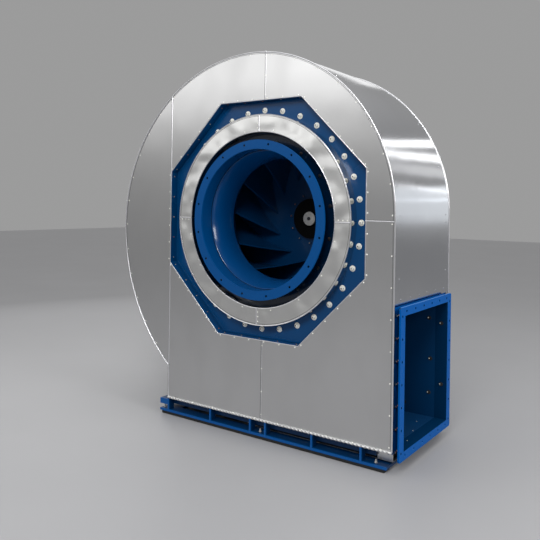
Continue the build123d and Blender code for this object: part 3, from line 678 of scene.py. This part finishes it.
def modelNut(look, name):
    # Washer, chamfered nut and the end of its stud, standing on the origin
    foot = look["washerHeight"]
    washer = post(name, 24, look["washer"], foot)
    nut = post("nut", 6, look["across"], look["height"], foot)
    stud = post("stud", 14, look["stud"], look["studOut"], foot + look["height"])
    bevelEdges(washer, nutEdges["washer"], 1)
    bevelEdges(nut, nutEdges["nut"], 2)
    bevelEdges(stud, nutEdges["stud"], 1)
    return tidyShell(together([washer, nut, stud], name), 30)


def nutReach(look):
    return look["washerHeight"] + look["height"] + look["studOut"]


screwModel = modelScrew(screwLook)
coverNutModel = modelNut(coverNut, "cover nut")
smallNutModel = modelNut(smallNut, "small nut")
footNutModel = modelNut(footNut, "foot nut")
anchorNutModel = modelNut(anchorNut, "anchor nut")
endModel = modelScrew(studEndLook)
print("fasteners modelled")

# Screws of the front cladding: round the window, along the rim and beside the seams
frontScrews = {
    "windowInset": 0.009, "windowPitch": 0.086, "windowEnds": 0.02, "rimInset": 0.013, "rimPitch": 0.135,
    "rimStart": 0.02, "seamPitch": 0.12, "seamEnds": 0.028, "leftSeamTop": 0.62,
}


def octagonSides(apothem):
    # Both ends of each side of an octagon that the window is one of
    reach = apothem / cos(pi / 8)
    turns = [pi / 8 + step * pi / 4 for step in range(9)]
    corners = [Vector((reach * cos(turn), 0, reach * sin(turn))) for turn in turns]
    return zip(corners, corners[1:])


def rimPoints(inset, pitch):
    # Points along the cladding's outline, from the outlet side over the top to the foot
    side = alongLine((0, 0, plan["claddingFoot"] + frontScrews["rimStart"]), (0, 0, 0), pitch)
    points = [(plan["rightSide"] - inset, point.z) for point in side]
    spans = ((0, pi / 2), (pi / 2, pi), (pi, footTurn()))
    for centre, radius, (first, last) in zip(plan["scrollCentres"], plan["scrollRadii"], spans):
        points += alongArc(centre, radius - inset, first, last, pitch)[:-1]
    return points


def claddingScrews():
    look = frontScrews
    middle, left, window, foot = plan["centreSeam"], plan["footLeft"], plan["window"], plan["claddingFoot"]
    points = []
    for first, last in octagonSides(window + look["windowInset"]):
        points += [(p.x, p.z) for p in alongLine(first, last, look["windowPitch"], look["windowEnds"])]
    points += rimPoints(look["rimInset"], look["rimPitch"])
    seams = (
        ((middle, 0, window), (middle, 0, claddingTop)),
        ((middle, 0, -window), (middle, 0, foot)),
        ((left, 0, look["leftSeamTop"]), (left, 0, foot)),
        ((window, 0, plan["sideSeam"]), (plan["rightSide"], 0, plan["sideSeam"])),
    )
    for first, last in seams:
        points += [(p.x, p.z) for p in alongLine(first, last, look["seamPitch"], look["seamEnds"])]
    front = plan["frontFace"]
    places = [standing((x, front, z), (0, -1, 0), step * 1.3) for step, (x, z) in enumerate(points)]
    give(copies(screwModel, places, "front_cladding_screws"), zincSteel)


claddingScrews()

# Beads folded on the sheets: along the rim, the seams and the window's edge, with dark grooves of painted
# shade beside the rim and seams
beadLook = {
    "rim": 0.0038, "groove": 0.0009, "grooveInset": 0.0078, "seam": 0.0034, "seamGroove": 0.0010,
    "fineSeam": 0.0020, "fineGroove": 0.0018, "window": 0.0026, "windowGap": 0.002,
    "grooveDepth": 0.0004, "grooveAside": 0.6,
}


def scrollRuns(grow):
    # Runs of the cladding's outline, moved outward by a distance
    runs = [{"by": (0, 0, plan["scrollCentres"][0][1] - plan["claddingFoot"])}]
    spans = ((pi / 2, 40), (pi / 2, 44), (footTurn(grow) - pi, 26))
    for (x, z), (angle, steps) in zip(plan["scrollCentres"], spans):
        runs.append({"steps": steps, "angle": angle, "centre": (x, 0, z)})
    return runs


def claddingBeads():
    look = beadLook
    front, rear, right = plan["frontFace"], plan["rearFace"], plan["rightSide"]
    foot, window, middle = plan["claddingFoot"], plan["window"], plan["centreSeam"]
    beads = [drawBead("rim bead", look["rim"], (right, y, foot), (0, 0, 1), scrollRuns(0))
             for y in (front, rear)]
    give(together(beads, "rim_beads"), beadMetal)
    inset, sunk = look["grooveInset"], front - look["grooveDepth"]
    start = (right - inset, sunk, foot)
    grooves = [drawBead("rim groove", look["groove"], start, (0, 0, 1), scrollRuns(-inset), 6)]
    (arcX, arcZ), radius = plan["scrollCentres"][1], plan["scrollRadii"][1]
    leftTop = arcZ + (radius ** 2 - (plan["footLeft"] - arcX) ** 2) ** 0.5
    seams = (
        ((middle, front, window), (0, 0, claddingTop - window)),
        ((middle, front, foot), (0, 0, -window - foot)),
        ((plan["footLeft"], front, foot), (0, 0, leftTop - foot)),
        ((window, front, plan["sideSeam"]), (right - window, 0, 0)),
        ((middle, rear, foot), (0, 0, claddingTop - foot)),
    )
    beads = []
    for (x, y, z), by in seams:
        kinds = ("fineSeam", "fineGroove") if x == middle else ("seam", "seamGroove")
        bead, groove = (look[kind] for kind in kinds)
        beads.append(drawStrip("seam bead", bead, (x, y, z), by, 8))
        if y == front:
            aside = bead + look["grooveAside"] * groove
            start = (x, sunk, z + aside) if by[0] else (x - aside, sunk, z)
            grooves.append(drawStrip("seam groove", groove, start, by))
    give(together(beads, "seam_beads"), beadMetal)
    give(together(grooves, "seam_grooves"), shadedGrooveMetal)
    beads = []
    for first, last in octagonSides(window + look["windowGap"]):
        first.y = last.y = front
        beads.append(drawStrip("window bead", look["window"], first, last - first, 8))
    give(together(beads, "window_edge_beads"), beadMetal)


claddingBeads()
print("cladding screws and beads placed")

# Nuts: cover plate, nozzle collar, outlet frame, feet, hub, bearings and anchors
nutPlaces = {
    "coverCircle": 0.555, "coverCount": 32, "endSink": 0.0008,
    "collarCircle": 0.398, "collarFace": 0.068, "collarCount": 16, "collarFirst": 10.8,
    "frameColumns": (0.054, 0.640), "frameRows": (-1.004, -0.904, -0.804, -0.704, -0.604, -0.504, -0.404),
    "frameTopRow": -0.384, "frameTopPlaces": (0.097, 0.197, 0.297, 0.397, 0.497, 0.597),
    "frameFace": 0.739, "frameEndSink": 0.0006, "frameHeads": 0.7445, "stubWalls": (0.0775, 0.6165),
    "footX": (-0.648, 0.014, 0.655), "footY": (0.052, 0.671), "footTop": -1.070,
    "hubCircle": 0.140, "hubFace": 0.548, "hubCount": 12, "hubFirst": 24.8,
    "bearingX": (-0.130, 0.130), "bearingY": (0.860, 1.160), "bearingFoot": -0.084,
    "anchorX": (-0.280, 0.280), "anchorY": (0.759, 1.215),
}


def placeNuts():
    look = nutPlaces
    circle, count, face = look["coverCircle"], look["coverCount"], plan["platePlane"]
    places = roundShaft(circle, face, count, pi / 2)
    give(copies(coverNutModel, places, "cover_nuts"), zincSteel, replaced=("cover_bolts",))
    places = roundShaft(circle, face - nutReach(coverNut) + look["endSink"], count, pi / 2)
    give(copies(endModel, places, "cover_stud_ends"), darkSteel)
    places = roundShaft(look["collarCircle"], look["collarFace"], look["collarCount"],
                        radians(look["collarFirst"]))
    give(copies(smallNutModel, places, "collar_nuts"), darkSteel)
    reach, face = nutReach(smallNut), look["frameFace"]
    spots = [(y, z) for y in look["frameColumns"] for z in look["frameRows"]]
    spots += [(y, look["frameTopRow"]) for y in look["frameTopPlaces"]]
    places = [standing((face, y, z), (1, 0, 0), y + z) for y, z in spots]
    # The outlet frame's nuts wear the duct paint's painted shade
    give(copies(smallNutModel, places, "frame_nuts"), shadedDuctPaint, replaced=("outlet_frame_bolts",))
    places = [standing((face + reach - look["frameEndSink"], y, z), (1, 0, 0), y) for y, z in spots]
    places += [standing((look["frameHeads"], y, z), (0, out, 0), y)
               for y, out in zip(look["stubWalls"], (-1, 1)) for z in look["frameRows"]]
    give(copies(screwModel, places, "frame_stud_ends"), rustySteel)
    level = look["footTop"]
    places = [standing((x, y, level), (0, 0, 1), x) for x in look["footX"] for y in look["footY"]]
    give(copies(footNutModel, places, "foot_nuts"), dullSteel, replaced=("foot_bolts",))
    circle, count, face = look["hubCircle"], look["hubCount"], look["hubFace"]
    first = radians(look["hubFirst"])
    places = roundShaft(circle, face, count, first)
    # The hub nuts wear the impeller paint's painted shade
    give(copies(smallNutModel, places, "hub_nuts"), shadedImpellerPaint, "rotor", ("hub_bolts",))
    places = roundShaft(circle, face - reach + look["endSink"], count, first)
    give(copies(endModel, places, "hub_stud_ends"), rustySteel, "rotor")
    places = [standing((x, y, look["bearingFoot"]), (0, 0, 1), y)
              for x in look["bearingX"] for y in look["bearingY"]]
    give(copies(anchorNutModel, places, "bearing_nuts"), zincSteel, replaced=("bearing_bolts",))
    places = [standing((x, y, level), (0, 0, 1), x) for x in look["anchorX"] for y in look["anchorY"]]
    give(copies(anchorNutModel, places, "anchor_nuts"), zincSteel)


placeNuts()
print("nuts placed")

# Inlet ring: beads at both edges, a scored line drawn as a dark ring of painted shade, seams between its
# quarters and their screws
ringTrim = {
    "face": 0.0214, "outer": 0.5285, "outerBead": 0.0026, "line": 0.5215, "lineBead": 0.0012,
    "inner": 0.4430, "innerBead": 0.0024, "seamBead": 0.0036, "seamEnds": (0.446, 0.526),
    "screwCircle": 0.4535, "screws": 16, "seamScrews": (0.462, 0.486, 0.510), "seamScrewSide": 0.0095,
}


def trimRing():
    look = ringTrim
    face = look["face"]
    beads = [roundBead("outer bead", look["outer"], face, look["outerBead"]),
             roundBead("inner bead", look["inner"], face, look["innerBead"])]
    line = roundBead("inlet_ring_groove", look["line"], face, look["lineBead"], 6)
    give(line, shadedGrooveMetal)
    first, last = look["seamEnds"]
    depth = Vector((0, face, 0))
    places = roundShaft(look["screwCircle"], face, look["screws"], pi / look["screws"])
    for step in range(4):
        way = Vector((cos(step * pi / 2), 0, sin(step * pi / 2)))
        aside = Vector((-way.z, 0, way.x)) * look["seamScrewSide"]
        start, by = way * first + depth, way * (last - first)
        beads.append(drawStrip("quarter seam", look["seamBead"], start, by, 8))
        places += [standing(way * reach + aside + depth, (0, -1, 0), reach) for reach in look["seamScrews"]]
    give(together(beads, "inlet_ring_beads"), beadMetal)
    give(copies(screwModel, places, "inlet_ring_screws"), zincSteel)


trimRing()

# Window: an angle strip round the cover plate's edge and rusting screws in the recess wall
recessLook = {
    "stripOuter": 0.5990, "stripInner": 0.5880, "stripHeight": 0.0030, "stripEdge": 0.0008,
    "screwDepth": 0.050, "screwPitch": 0.112, "screwInset": 0.024,
}


def trimRecess():
    look = recessLook
    strip = begin("circle", "recess_strip", vertices=8, radius=look["stripOuter"] * (1 / cos(pi / 8)),
                  location=(0, plan["platePlane"], 0), rotation=(pi / 2, pi / 8, 0))
    edit(strip)
    extrude((0, 0, 0))
    shrink = look["stripInner"] / look["stripOuter"]
    bpy.ops.transform.resize(value=(shrink, 1, shrink))
    bpy.ops.mesh.select_all(action="SELECT")
    extrude((0, -look["stripHeight"], 0))
    give(bevelEdges(tidyShell(strip), look["stripEdge"]), shadedPlatePaint)
    places = []
    for first, last in octagonSides(plan["window"]):
        inward = -(first + last).normalized()
        for point in alongLine(first, last, look["screwPitch"], look["screwInset"]):
            point.y = look["screwDepth"]
            places.append(standing(point, inward, point.x))
    give(copies(screwModel, places, "recess_screws"), rustySteel)


trimRecess()

# Twisted strip along the foot of the front sheets, with its screws
hemLook = {
    "radius": 0.0072, "flat": 0.72, "pitch": 0.021, "cuts": 5, "depth": 0.0205,
    "screwPitch": 0.139, "screwEnds": 0.05, "screwOut": 0.003, "screwUp": 0.0045, "screwTilt": 0.35,
}


def layHem():
    look = hemLook
    length = plan["rightSide"] - plan["footLeft"]
    steps = round(length / look["pitch"] * look["cuts"])
    rope = begin("circle", "cladding_hem", vertices=8, radius=look["radius"], fill_type="NGON")
    edit(rope)
    bpy.ops.transform.resize(value=(1, look["flat"], 1))
    for step in range(steps):
        extrude((0, 0, length / steps))
    tidyShell(rope, 50)
    twist = rope.modifiers.new("twist", "SIMPLE_DEFORM")
    twist.deform_method = "TWIST"
    twist.deform_axis = "Z"
    twist.angle = pi * round(length / look["pitch"])
    bpy.ops.object.modifier_apply(modifier=twist.name)
    foot = Vector((plan["footLeft"], look["depth"], plan["claddingFoot"]))
    rope.data.transform(Matrix.Translation(foot) @ Matrix.Rotation(pi / 2, 4, "Y"))
    give(rope, hemMetal)
    line = alongLine(foot, foot + Vector((length, 0, 0)), look["screwPitch"], look["screwEnds"])
    seat = Vector((0, -look["screwOut"], look["screwUp"]))
    places = [standing(point + seat, (0, -1, look["screwTilt"]), point.x) for point in line]
    give(copies(screwModel, places, "hem_screws"), zincSteel)


layHem()

# Wrap: laps between its sheets, sparse screws behind the rims and a row above the outlet
wrapLook = {
    "rimGap": 0.004, "lapBead": 0.0018, "lapAside": 0.014, "screwPitch": 0.098, "screwEnds": 0.06,
    "edgeInset": 0.047, "edgePitch": 0.24, "outletRow": -0.338, "outletPitch": 0.098, "outletEnds": 0.07,
}


def outwardAt(x, z):
    # Direction that the wrap faces at a point of its outline
    if x < plan["rightSide"] - 0.001:
        for (centreX, centreZ), radius in zip(plan["scrollCentres"], plan["scrollRadii"]):
            way = Vector((x - centreX, 0, z - centreZ))
            if abs(way.length - radius) < 0.001:
                return way
        return Vector((x, 0, z))
    return Vector((1, 0, 0))


def trimWrap():
    look = wrapLook
    front, rear = plan["frontFace"] + look["rimGap"], plan["rearFace"] - look["rimGap"]
    (topX, _), (leftX, leftZ), _ = plan["scrollCentres"]
    left = leftX - plan["scrollRadii"][1]
    laps = (((topX, claddingTop), (0, 0, 1), (-1, 0)), ((left, leftZ), (-1, 0, 0), (0, -1)))
    beads, places = [], []
    for (x, z), facing, (asideX, asideZ) in laps:
        beads.append(drawStrip("lap", look["lapBead"], (x, front, z), (0, rear - front, 0)))
        shift = Vector((asideX, 0, asideZ)) * look["lapAside"]
        for point in alongLine((x, front, z), (x, rear, z), look["screwPitch"], look["screwEnds"]):
            places.append(standing(point + shift, facing, point.y))
    give(together(beads, "wrap_laps"), wrapMetal)
    right, row = plan["rightSide"], look["outletRow"]
    for depth in (front + look["edgeInset"], rear - look["edgeInset"]):
        places += [standing((x, depth, z), outwardAt(x, z), x + z)
                   for x, z in rimPoints(0.0, look["edgePitch"]) if x < right - 0.001 or z > row]
    line = alongLine((right, front, row), (right, rear, row), look["outletPitch"], look["outletEnds"])
    places += [standing(point, (1, 0, 0), point.y) for point in line]
    give(copies(screwModel, places, "wrap_screws"), wrapMetal)


trimWrap()
print("ring, window, hem and wrap trimmed")

# Outlet: dark discs of painted shade with studs on the duct's rear wall, small studs on its floor
ductLook = {
    "wall": 0.612, "plug": 0.0105, "shadeDiscHeight": 0.0016, "shadeDiscEdge": 0.0005,
    "stud": 0.0030, "studOut": 0.005, "studEdge": 0.0008, "studAside": -0.006,
    "shadeDiscs": ((0.677, -0.495), (0.741, -0.516), (0.685, -0.704), (0.743, -0.827), (0.679, -0.879),
              (0.546, -0.953)),
    "floor": -1.004, "floorStuds": ((0.66, 0.50), (0.70, 0.36), (0.62, 0.27), (0.73, 0.22)),
    "floorStud": {"radius": 0.0026, "height": 0.0015, "sides": 10},
}


def fitDuct():
    look = ductLook
    # The plugs are black discs of painted shade: the dark of the holes and of the studs' shadows
    plug = bevelEdges(post("plug", 28, look["plug"], look["shadeDiscHeight"]), look["shadeDiscEdge"], 1)
    stud = bevelEdges(post("stud", 14, look["stud"], look["studOut"], aside=look["studAside"]),
                      look["studEdge"], 1)
    tack = modelScrew(look["floorStud"])
    places = [standing((x, look["wall"], z), (0, -1, 0)) for x, z in look["shadeDiscs"]]
    give(copies(plug, places, "duct_shade_discs"), rubber)
    give(copies(stud, places, "duct_wall_studs"), dullSteel)
    places = [standing((x, y, look["floor"]), (0, 0, 1)) for x, y in look["floorStuds"]]
    give(copies(tack, places, "duct_floor_studs"), dullSteel)
    discard(plug, stud, tack)


fitDuct()

# Folded strips that close the cladding's edges behind the outlet frame, with their screws
edgeLook = {
    "frameBack": 0.6612, "frontOuter": 0.0332, "frontGap": 0.0016, "sheet": 0.0012, "fold": 0.012,
    "sunk": 0.0010, "lift": 0.0001, "rise": 0.635, "screwPitch": 0.15, "screwEnds": 0.04,
}


def closeEdges():
    look = edgeLook
    side, rear, foot = plan["rightSide"], plan["rearFace"], plan["claddingFoot"]
    inner, rise = look["frameBack"], look["rise"]
    near, out, fold = side - look["sunk"], side + look["sheet"], side - look["fold"]
    back, lift = rear + look["sheet"], rear + look["lift"]
    angle = [(near, inner), (out, inner), (out, back), (fold, back), (fold, lift), (near, lift)]
    strips = [raiseProfile("rear strip", angle, foot, rise)]
    front, outer = plan["frontFace"] + look["frontGap"], look["frontOuter"]
    flat = [(near, front), (out, front), (out, outer), (near, outer)]
    strips.append(raiseProfile("front strip", flat, foot, rise))
    give(together(strips, "outlet_edge_strips"), wrapMetal)
    middle = (inner + rear) / 2
    line = alongLine((out, middle, foot), (out, middle, foot + rise), look["screwPitch"], look["screwEnds"])
    places = [standing(point, (1, 0, 0), point.z) for point in line]
    give(copies(screwModel, places, "outlet_edge_screws"), zincSteel)


closeEdges()

# Black rubber block that fills the step between the strips and the foot plate's front face, as a band of
# painted shade under the foot plate
edgingLook = {
    "ends": (-0.649, 0.706), "front": 0.0265, "back": 0.0358, "foot": -1.098, "top": -1.0822, "round": 0.003,
}


def layEdging():
    look = edgingLook
    (left, right), front, back = look["ends"], look["front"], look["back"]
    middle = ((left + right) / 2, (front + back) / 2, (look["foot"] + look["top"]) / 2)
    size = (right - left, back - front, look["top"] - look["foot"])
    edging = begin("cube", "foot_shade_edging", size=1, location=middle, scale=size)
    give(tidyShell(bevelEdges(edging, look["round"], 3)), rubber)


layEdging()

# Shaft end in the hub: chamfered washer and hexagon bolt
endLook = {
    "front": 0.514, "washer": 0.0385, "washerHeight": 0.0025, "washerEdge": 0.0008,
    "across": 0.0105, "height": 0.0070, "boltEdge": 0.0012,
}


def fitShaftEnd():
    look = endLook
    thick, high, front = look["washerHeight"], look["height"], look["front"]
    washer = begin("cylinder", "end_washer", vertices=48, radius=look["washer"], depth=thick,
                   location=(0, front - thick / 2, 0), rotation=(pi / 2, 0, 0))
    give(tidyShell(bevelEdges(washer, look["washerEdge"])), dullSteel, "rotor")
    head = begin("cylinder", "end_bolt", vertices=6, radius=look["across"], depth=high,
                 location=(0, front - thick - high / 2, 0), rotation=(pi / 2, 0, 0))
    give(tidyShell(bevelEdges(head, look["boltEdge"]), 30), darkSteel, "rotor")


fitShaftEnd()
print("outlet, foot and shaft end fitted")

# Welds on the pedestal and the rubber edge of its door
weldLook = {
    "size": 0.0036, "topHalf": 0.150, "footHalf": 0.2495, "top": -0.137, "foot": -1.070,
    "front": 0.745, "back": 1.275, "doorHalf": 0.090, "doorHigh": 0.210, "doorCorner": 0.060,
    "doorMiddle": -0.6035, "doorBead": 0.0035,
}


def weldPedestal():
    look = weldLook
    size, front, back = look["size"], look["front"], look["back"]
    levels = ((look["topHalf"], look["top"]), (look["footHalf"], look["foot"]))
    lean, rise = look["topHalf"] - look["footHalf"], look["top"] - look["foot"]
    beads = []
    for side in (-1, 1):
        for half, z in levels:
            beads.append(drawStrip("weld", size, (side * half, front, z), (0, back - front, 0)))
        for y in (front, back):
            start = (side * look["footHalf"], y, look["foot"])
            beads.append(drawStrip("corner weld", size, start, (side * lean, 0, rise)))
    for y in (front, back):
        for half, z in levels:
            beads.append(drawStrip("weld", size, (-half, y, z), (2 * half, 0, 0)))
    give(together(beads, "pedestal_welds"), bluePaint)


def edgeDoor():
    look = weldLook
    y, middle, corner = look["back"], look["doorMiddle"], look["doorCorner"]
    wide, high = look["doorHalf"] - corner, look["doorHigh"] - corner
    quarter = {"steps": 8, "angle": pi / 2}
    runs = [
        {"by": (0, 0, 2 * high)}, {**quarter, "centre": (wide, y, middle + high)},
        {"by": (-2 * wide, 0, 0)}, {**quarter, "centre": (-wide, y, middle + high)},
        {"by": (0, 0, -2 * high)}, {**quarter, "centre": (-wide, y, middle - high)},
        {"by": (2 * wide, 0, 0)}, {**quarter, "centre": (wide, y, middle - high)},
    ]
    start = (look["doorHalf"], y, middle - high)
    give(drawBead("pedestal_door_edge", look["doorBead"], start, (0, 0, 1), runs), rubber)


weldPedestal()
edgeDoor()

# The nozzle's crease: a roll in the nozzle paint, and beside it a fine black line of painted shade
creaseLook = {
    "radius": 0.3535, "depth": 0.086, "size": 0.0036, "line": 0.3545, "lineDepth": 0.0805, "lineSize": 0.0013,
}


def rollCrease():
    look = creaseLook
    roll = roundBead("nozzle_crease", look["radius"], look["depth"], look["size"], 10)
    give(roll, nozzlePaint)
    line = roundBead("nozzle_crease_shade_line", look["line"], look["lineDepth"], look["lineSize"], 6)
    give(line, blackIron)


rollCrease()

# Rear of the casing: screws round the rear sheets, and a collar and gland at the shaft seal
rearLook = {
    "seamAside": 0.014, "seamPitch": 0.11, "footUp": 0.012, "footPitch": 0.12, "lineEnds": 0.03,
    "collarInner": 0.0775, "collarOuter": 0.1250, "collarHeight": 0.0020, "collarBead": 0.0030,
    "collarRoom": 0.02, "collarScrews": 8, "collarCircle": 0.112,
    "glandInner": 0.0485, "glandOuter": 0.066, "glandFront": 0.712, "glandHeight": 0.006,
    "glandEdge": 0.001, "glandScrews": 4, "glandCircle": 0.058,
}


def trimRear():
    look = rearLook
    rear, rearward, ends = plan["rearFace"], (0, 1, 0), look["lineEnds"]
    points = rimPoints(frontScrews["rimInset"], frontScrews["rimPitch"])
    x, foot = plan["centreSeam"] + look["seamAside"], plan["claddingFoot"]
    line = alongLine((x, 0, foot), (x, 0, claddingTop), look["seamPitch"], ends)
    points += [(p.x, p.z) for p in line if abs(p.z) > look["collarOuter"] + look["collarRoom"]]
    z = foot + look["footUp"]
    line = alongLine((plan["footLeft"], 0, z), (plan["rightSide"], 0, z), look["footPitch"], ends)
    points += [(p.x, p.z) for p in line]
    places = [standing((x, rear, z), rearward, x) for x, z in points]
    inner, outer, back = look["collarInner"], look["collarOuter"], rear + look["collarHeight"]
    places += roundShaft(look["collarCircle"], back, look["collarScrews"], pi / 8, rearward)
    give(copies(screwModel, places, "rear_cladding_screws"), beadMetal)
    collar = lathe("seal_collar", [(inner, rear), (outer, rear), (outer, back), (inner, back)], 72)
    bead = roundBead("collar bead", outer, rear + look["collarHeight"] / 2, look["collarBead"], 8, 72)
    give(together([collar, bead], "seal_collar"), beadMetal)
    inner, outer, edge = look["glandInner"], look["glandOuter"], look["glandEdge"]
    front, back = look["glandFront"], look["glandFront"] + look["glandHeight"]
    gland = [(inner, front), (outer, front), (outer, back - edge), (outer - edge, back), (inner, back)]
    give(lathe("seal_gland", gland, 64), greyIron)
    places = roundShaft(look["glandCircle"], back, look["glandScrews"], pi / 4, rearward)
    give(copies(screwModel, places, "gland_screws"), zincSteel)


trimRear()

# Bearings: lugs at the split with their cap bolts, and grease nipples on top
bearingLook = {
    "places": (0.860, 1.160), "lugX": 0.1000, "lugSize": (0.032, 0.084, 0.036), "lugBevel": 0.006,
    "capBoltX": 0.003, "capBoltY": 0.024, "nippleTop": 0.094, "nippleRadius": 0.0050,
    "nippleHeight": 0.013, "tipInset": 0.0018, "tipHeight": 0.004, "tipEdge": 0.0006,
}


def fitBearings():
    look = bearingLook
    lugs, places = [], []
    for y in look["places"]:
        for side in (-1, 1):
            lug = begin("cube", "lug", size=1, location=(side * look["lugX"], y, 0), scale=look["lugSize"])
            lugs.append(bevelEdges(lug, look["lugBevel"], 3))
            for way in (-1, 1):
                x = side * (look["lugX"] + look["capBoltX"])
                at = (x, y + way * look["capBoltY"], look["lugSize"][2] / 2)
                places.append(standing(at, (0, 0, 1), y * way))
    give(tidyShell(together(lugs, "bearing_lugs")), greyIron)
    give(copies(coverNutModel, places, "bearing_cap_nuts"), zincSteel)
    nipple = post("nipple", 16, look["nippleRadius"], look["nippleHeight"])
    editTop(nipple)
    bpy.ops.mesh.inset(thickness=look["tipInset"], depth=0)
    extrude((0, 0, look["tipHeight"]))
    bpy.ops.object.mode_set(mode="OBJECT")
    bevelEdges(nipple, look["tipEdge"], 1)
    places = [standing((0, y, look["nippleTop"]), (0, 0, 1)) for y in look["places"]]
    give(tidyShell(copies(nipple, places, "grease_nipples")), turnedSteel)
    discard(nipple)


fitBearings()
discard(screwModel, coverNutModel, smallNutModel, footNutModel, anchorNutModel, endModel)
print("pedestal, nozzle, rear side and bearings finished")


# Stage: one pale floor and the camera
stageLook = {
    "floorLevel": -1.098, "floorSize": 40, "floorColour": tint(0.32, 0.32, 0.33),
    "floorPatches": tint(0.36, 0.36, 0.37), "camera": (1.9255, -2.6005, 0.0861), "heading": 35.21,
    "roll": 0.83, "lens": 43.16, "sensor": 36, "shift": -0.1244,
}


def setStage():
    look = stageLook
    floor = begin("plane", "floor", size=look["floorSize"], location=(0, 0, look["floorLevel"]))
    ground = Finish("pale floor", Roughness=0.45)
    colour = ground.blend(ground.noise(1.2, 4.0), look["floorColour"], look["floorPatches"])
    ground.feed("Base Color", colour)
    floor.data.materials.append(ground.material)
    cameraData = bpy.data.cameras.new("camera")
    cameraData.lens = look["lens"]
    cameraData.sensor_width = look["sensor"]
    cameraData.sensor_fit = "HORIZONTAL"
    cameraData.shift_y = look["shift"]
    camera = bpy.data.objects.new("camera", cameraData)
    bpy.context.scene.collection.objects.link(camera)
    turn = Matrix.Rotation(radians(look["heading"]), 4, "Z") @ Matrix.Rotation(pi / 2, 4, "X")
    roll = Matrix.Rotation(radians(look["roll"]), 4, "Z")
    camera.matrix_world = Matrix.Translation(look["camera"]) @ turn @ roll
    bpy.context.scene.camera = camera


# Lamps by the two ends of their long side; glow is how bright the lamp's face is
lamps = {
    "front": {"ends": ((-4.77, -2.74, 1.78), (-1.41, -4.93, 2.10)), "width": 1.5, "glow": 1.30},
    "front spot": {"ends": ((-2.45, -4.15, 1.95), (-1.65, -4.70, 1.95)), "width": 0.9, "glow": 1.2},
    "key": {"ends": ((0.8, -5.0, 3.3), (3.0, -4.4, 3.3)), "width": 1.6, "glow": 14.0},
    "ceiling": {"ends": ((-1.8, -0.4, 4.4), (2.2, -0.4, 4.4)), "width": 2.6, "glow": 1.05},
    "right": {"ends": ((4.6, -1.2, 1.7), (4.6, 0.8, 1.7)), "width": 1.4, "glow": 14.0},
    "high band": {"ends": ((1.86, 4.0, 2.15), (0.94, 4.0, 1.52)), "width": 0.19, "glow": 2.4},
    "second band": {"ends": ((2.05, 4.0, 1.90), (1.25, 4.0, 1.17)), "width": 0.22, "glow": 1.9},
    "fill band": {"ends": ((2.35, 4.0, 1.55), (1.45, 4.0, 0.85)), "width": 0.30, "glow": 0.55},
    "thin band": {"ends": ((2.60, 4.0, 0.98), (1.63, 4.0, 0.46)), "width": 0.05, "glow": 1.8},
    "window": {"ends": ((2.75, 4.0, 0.62), (1.60, 4.0, 0.50)), "width": 0.40, "glow": 0.70},
    "low window": {"ends": ((2.75, 4.0, 0.16), (1.60, 4.0, 0.16)), "width": 0.52, "glow": 0.62},
    "rear left": {"ends": ((-1.9, 4.0, 2.15), (-0.9, 4.0, 2.0)), "width": 0.55, "glow": 0.75},
    "left side": {"ends": ((-4.6, 0.4, 0.7), (-4.2, 3.4, 0.7)), "width": 1.8, "glow": 1.3},
}
lampColours = {"window": (0.90, 0.95, 1.0), "low window": (0.90, 0.95, 1.0)}
lampAim = (0.2, 0.2, 0)  # the point that every lamp faces
skyShades = ((0.40, 0.33), (0.86, 0.80))  # how high, and how pale


def addLamp(name, look):
    first, last = (Vector(end) for end in look["ends"])
    middle, along = (first + last) / 2, last - first
    lamp = bpy.data.lights.new(name, "AREA")
    lamp.shape = "RECTANGLE"
    lamp.size, lamp.size_y = along.length, look["width"]
    lamp.energy = look["glow"] * pi * along.length * look["width"]
    lamp.color = lampColours.get(name, (1, 1, 1))
    holder = bpy.data.objects.new(name, lamp)
    bpy.context.scene.collection.objects.link(holder)
    back = (middle - Vector(lampAim)).normalized()
    side = (along - back * along.dot(back)).normalized()
    axes = Matrix((side, back.cross(side), back)).transposed()
    holder.matrix_world = Matrix.Translation(middle) @ axes.to_4x4()
    holder.visible_camera = False


def lightScene():
    world = bpy.data.worlds.new("surroundings")
    bpy.context.scene.world = world
    sky = Graph(world, "Background", "Generated")
    sky.feed("Color", sky.ramp(sky.axis("Z"), *skyShades))
    sky.feed("Strength", 1.0)
    for name, look in lamps.items():
        addLamp(name, look)


setStage()
lightScene()
bpy.context.scene.view_settings.view_transform = "Standard"
print("stage set")
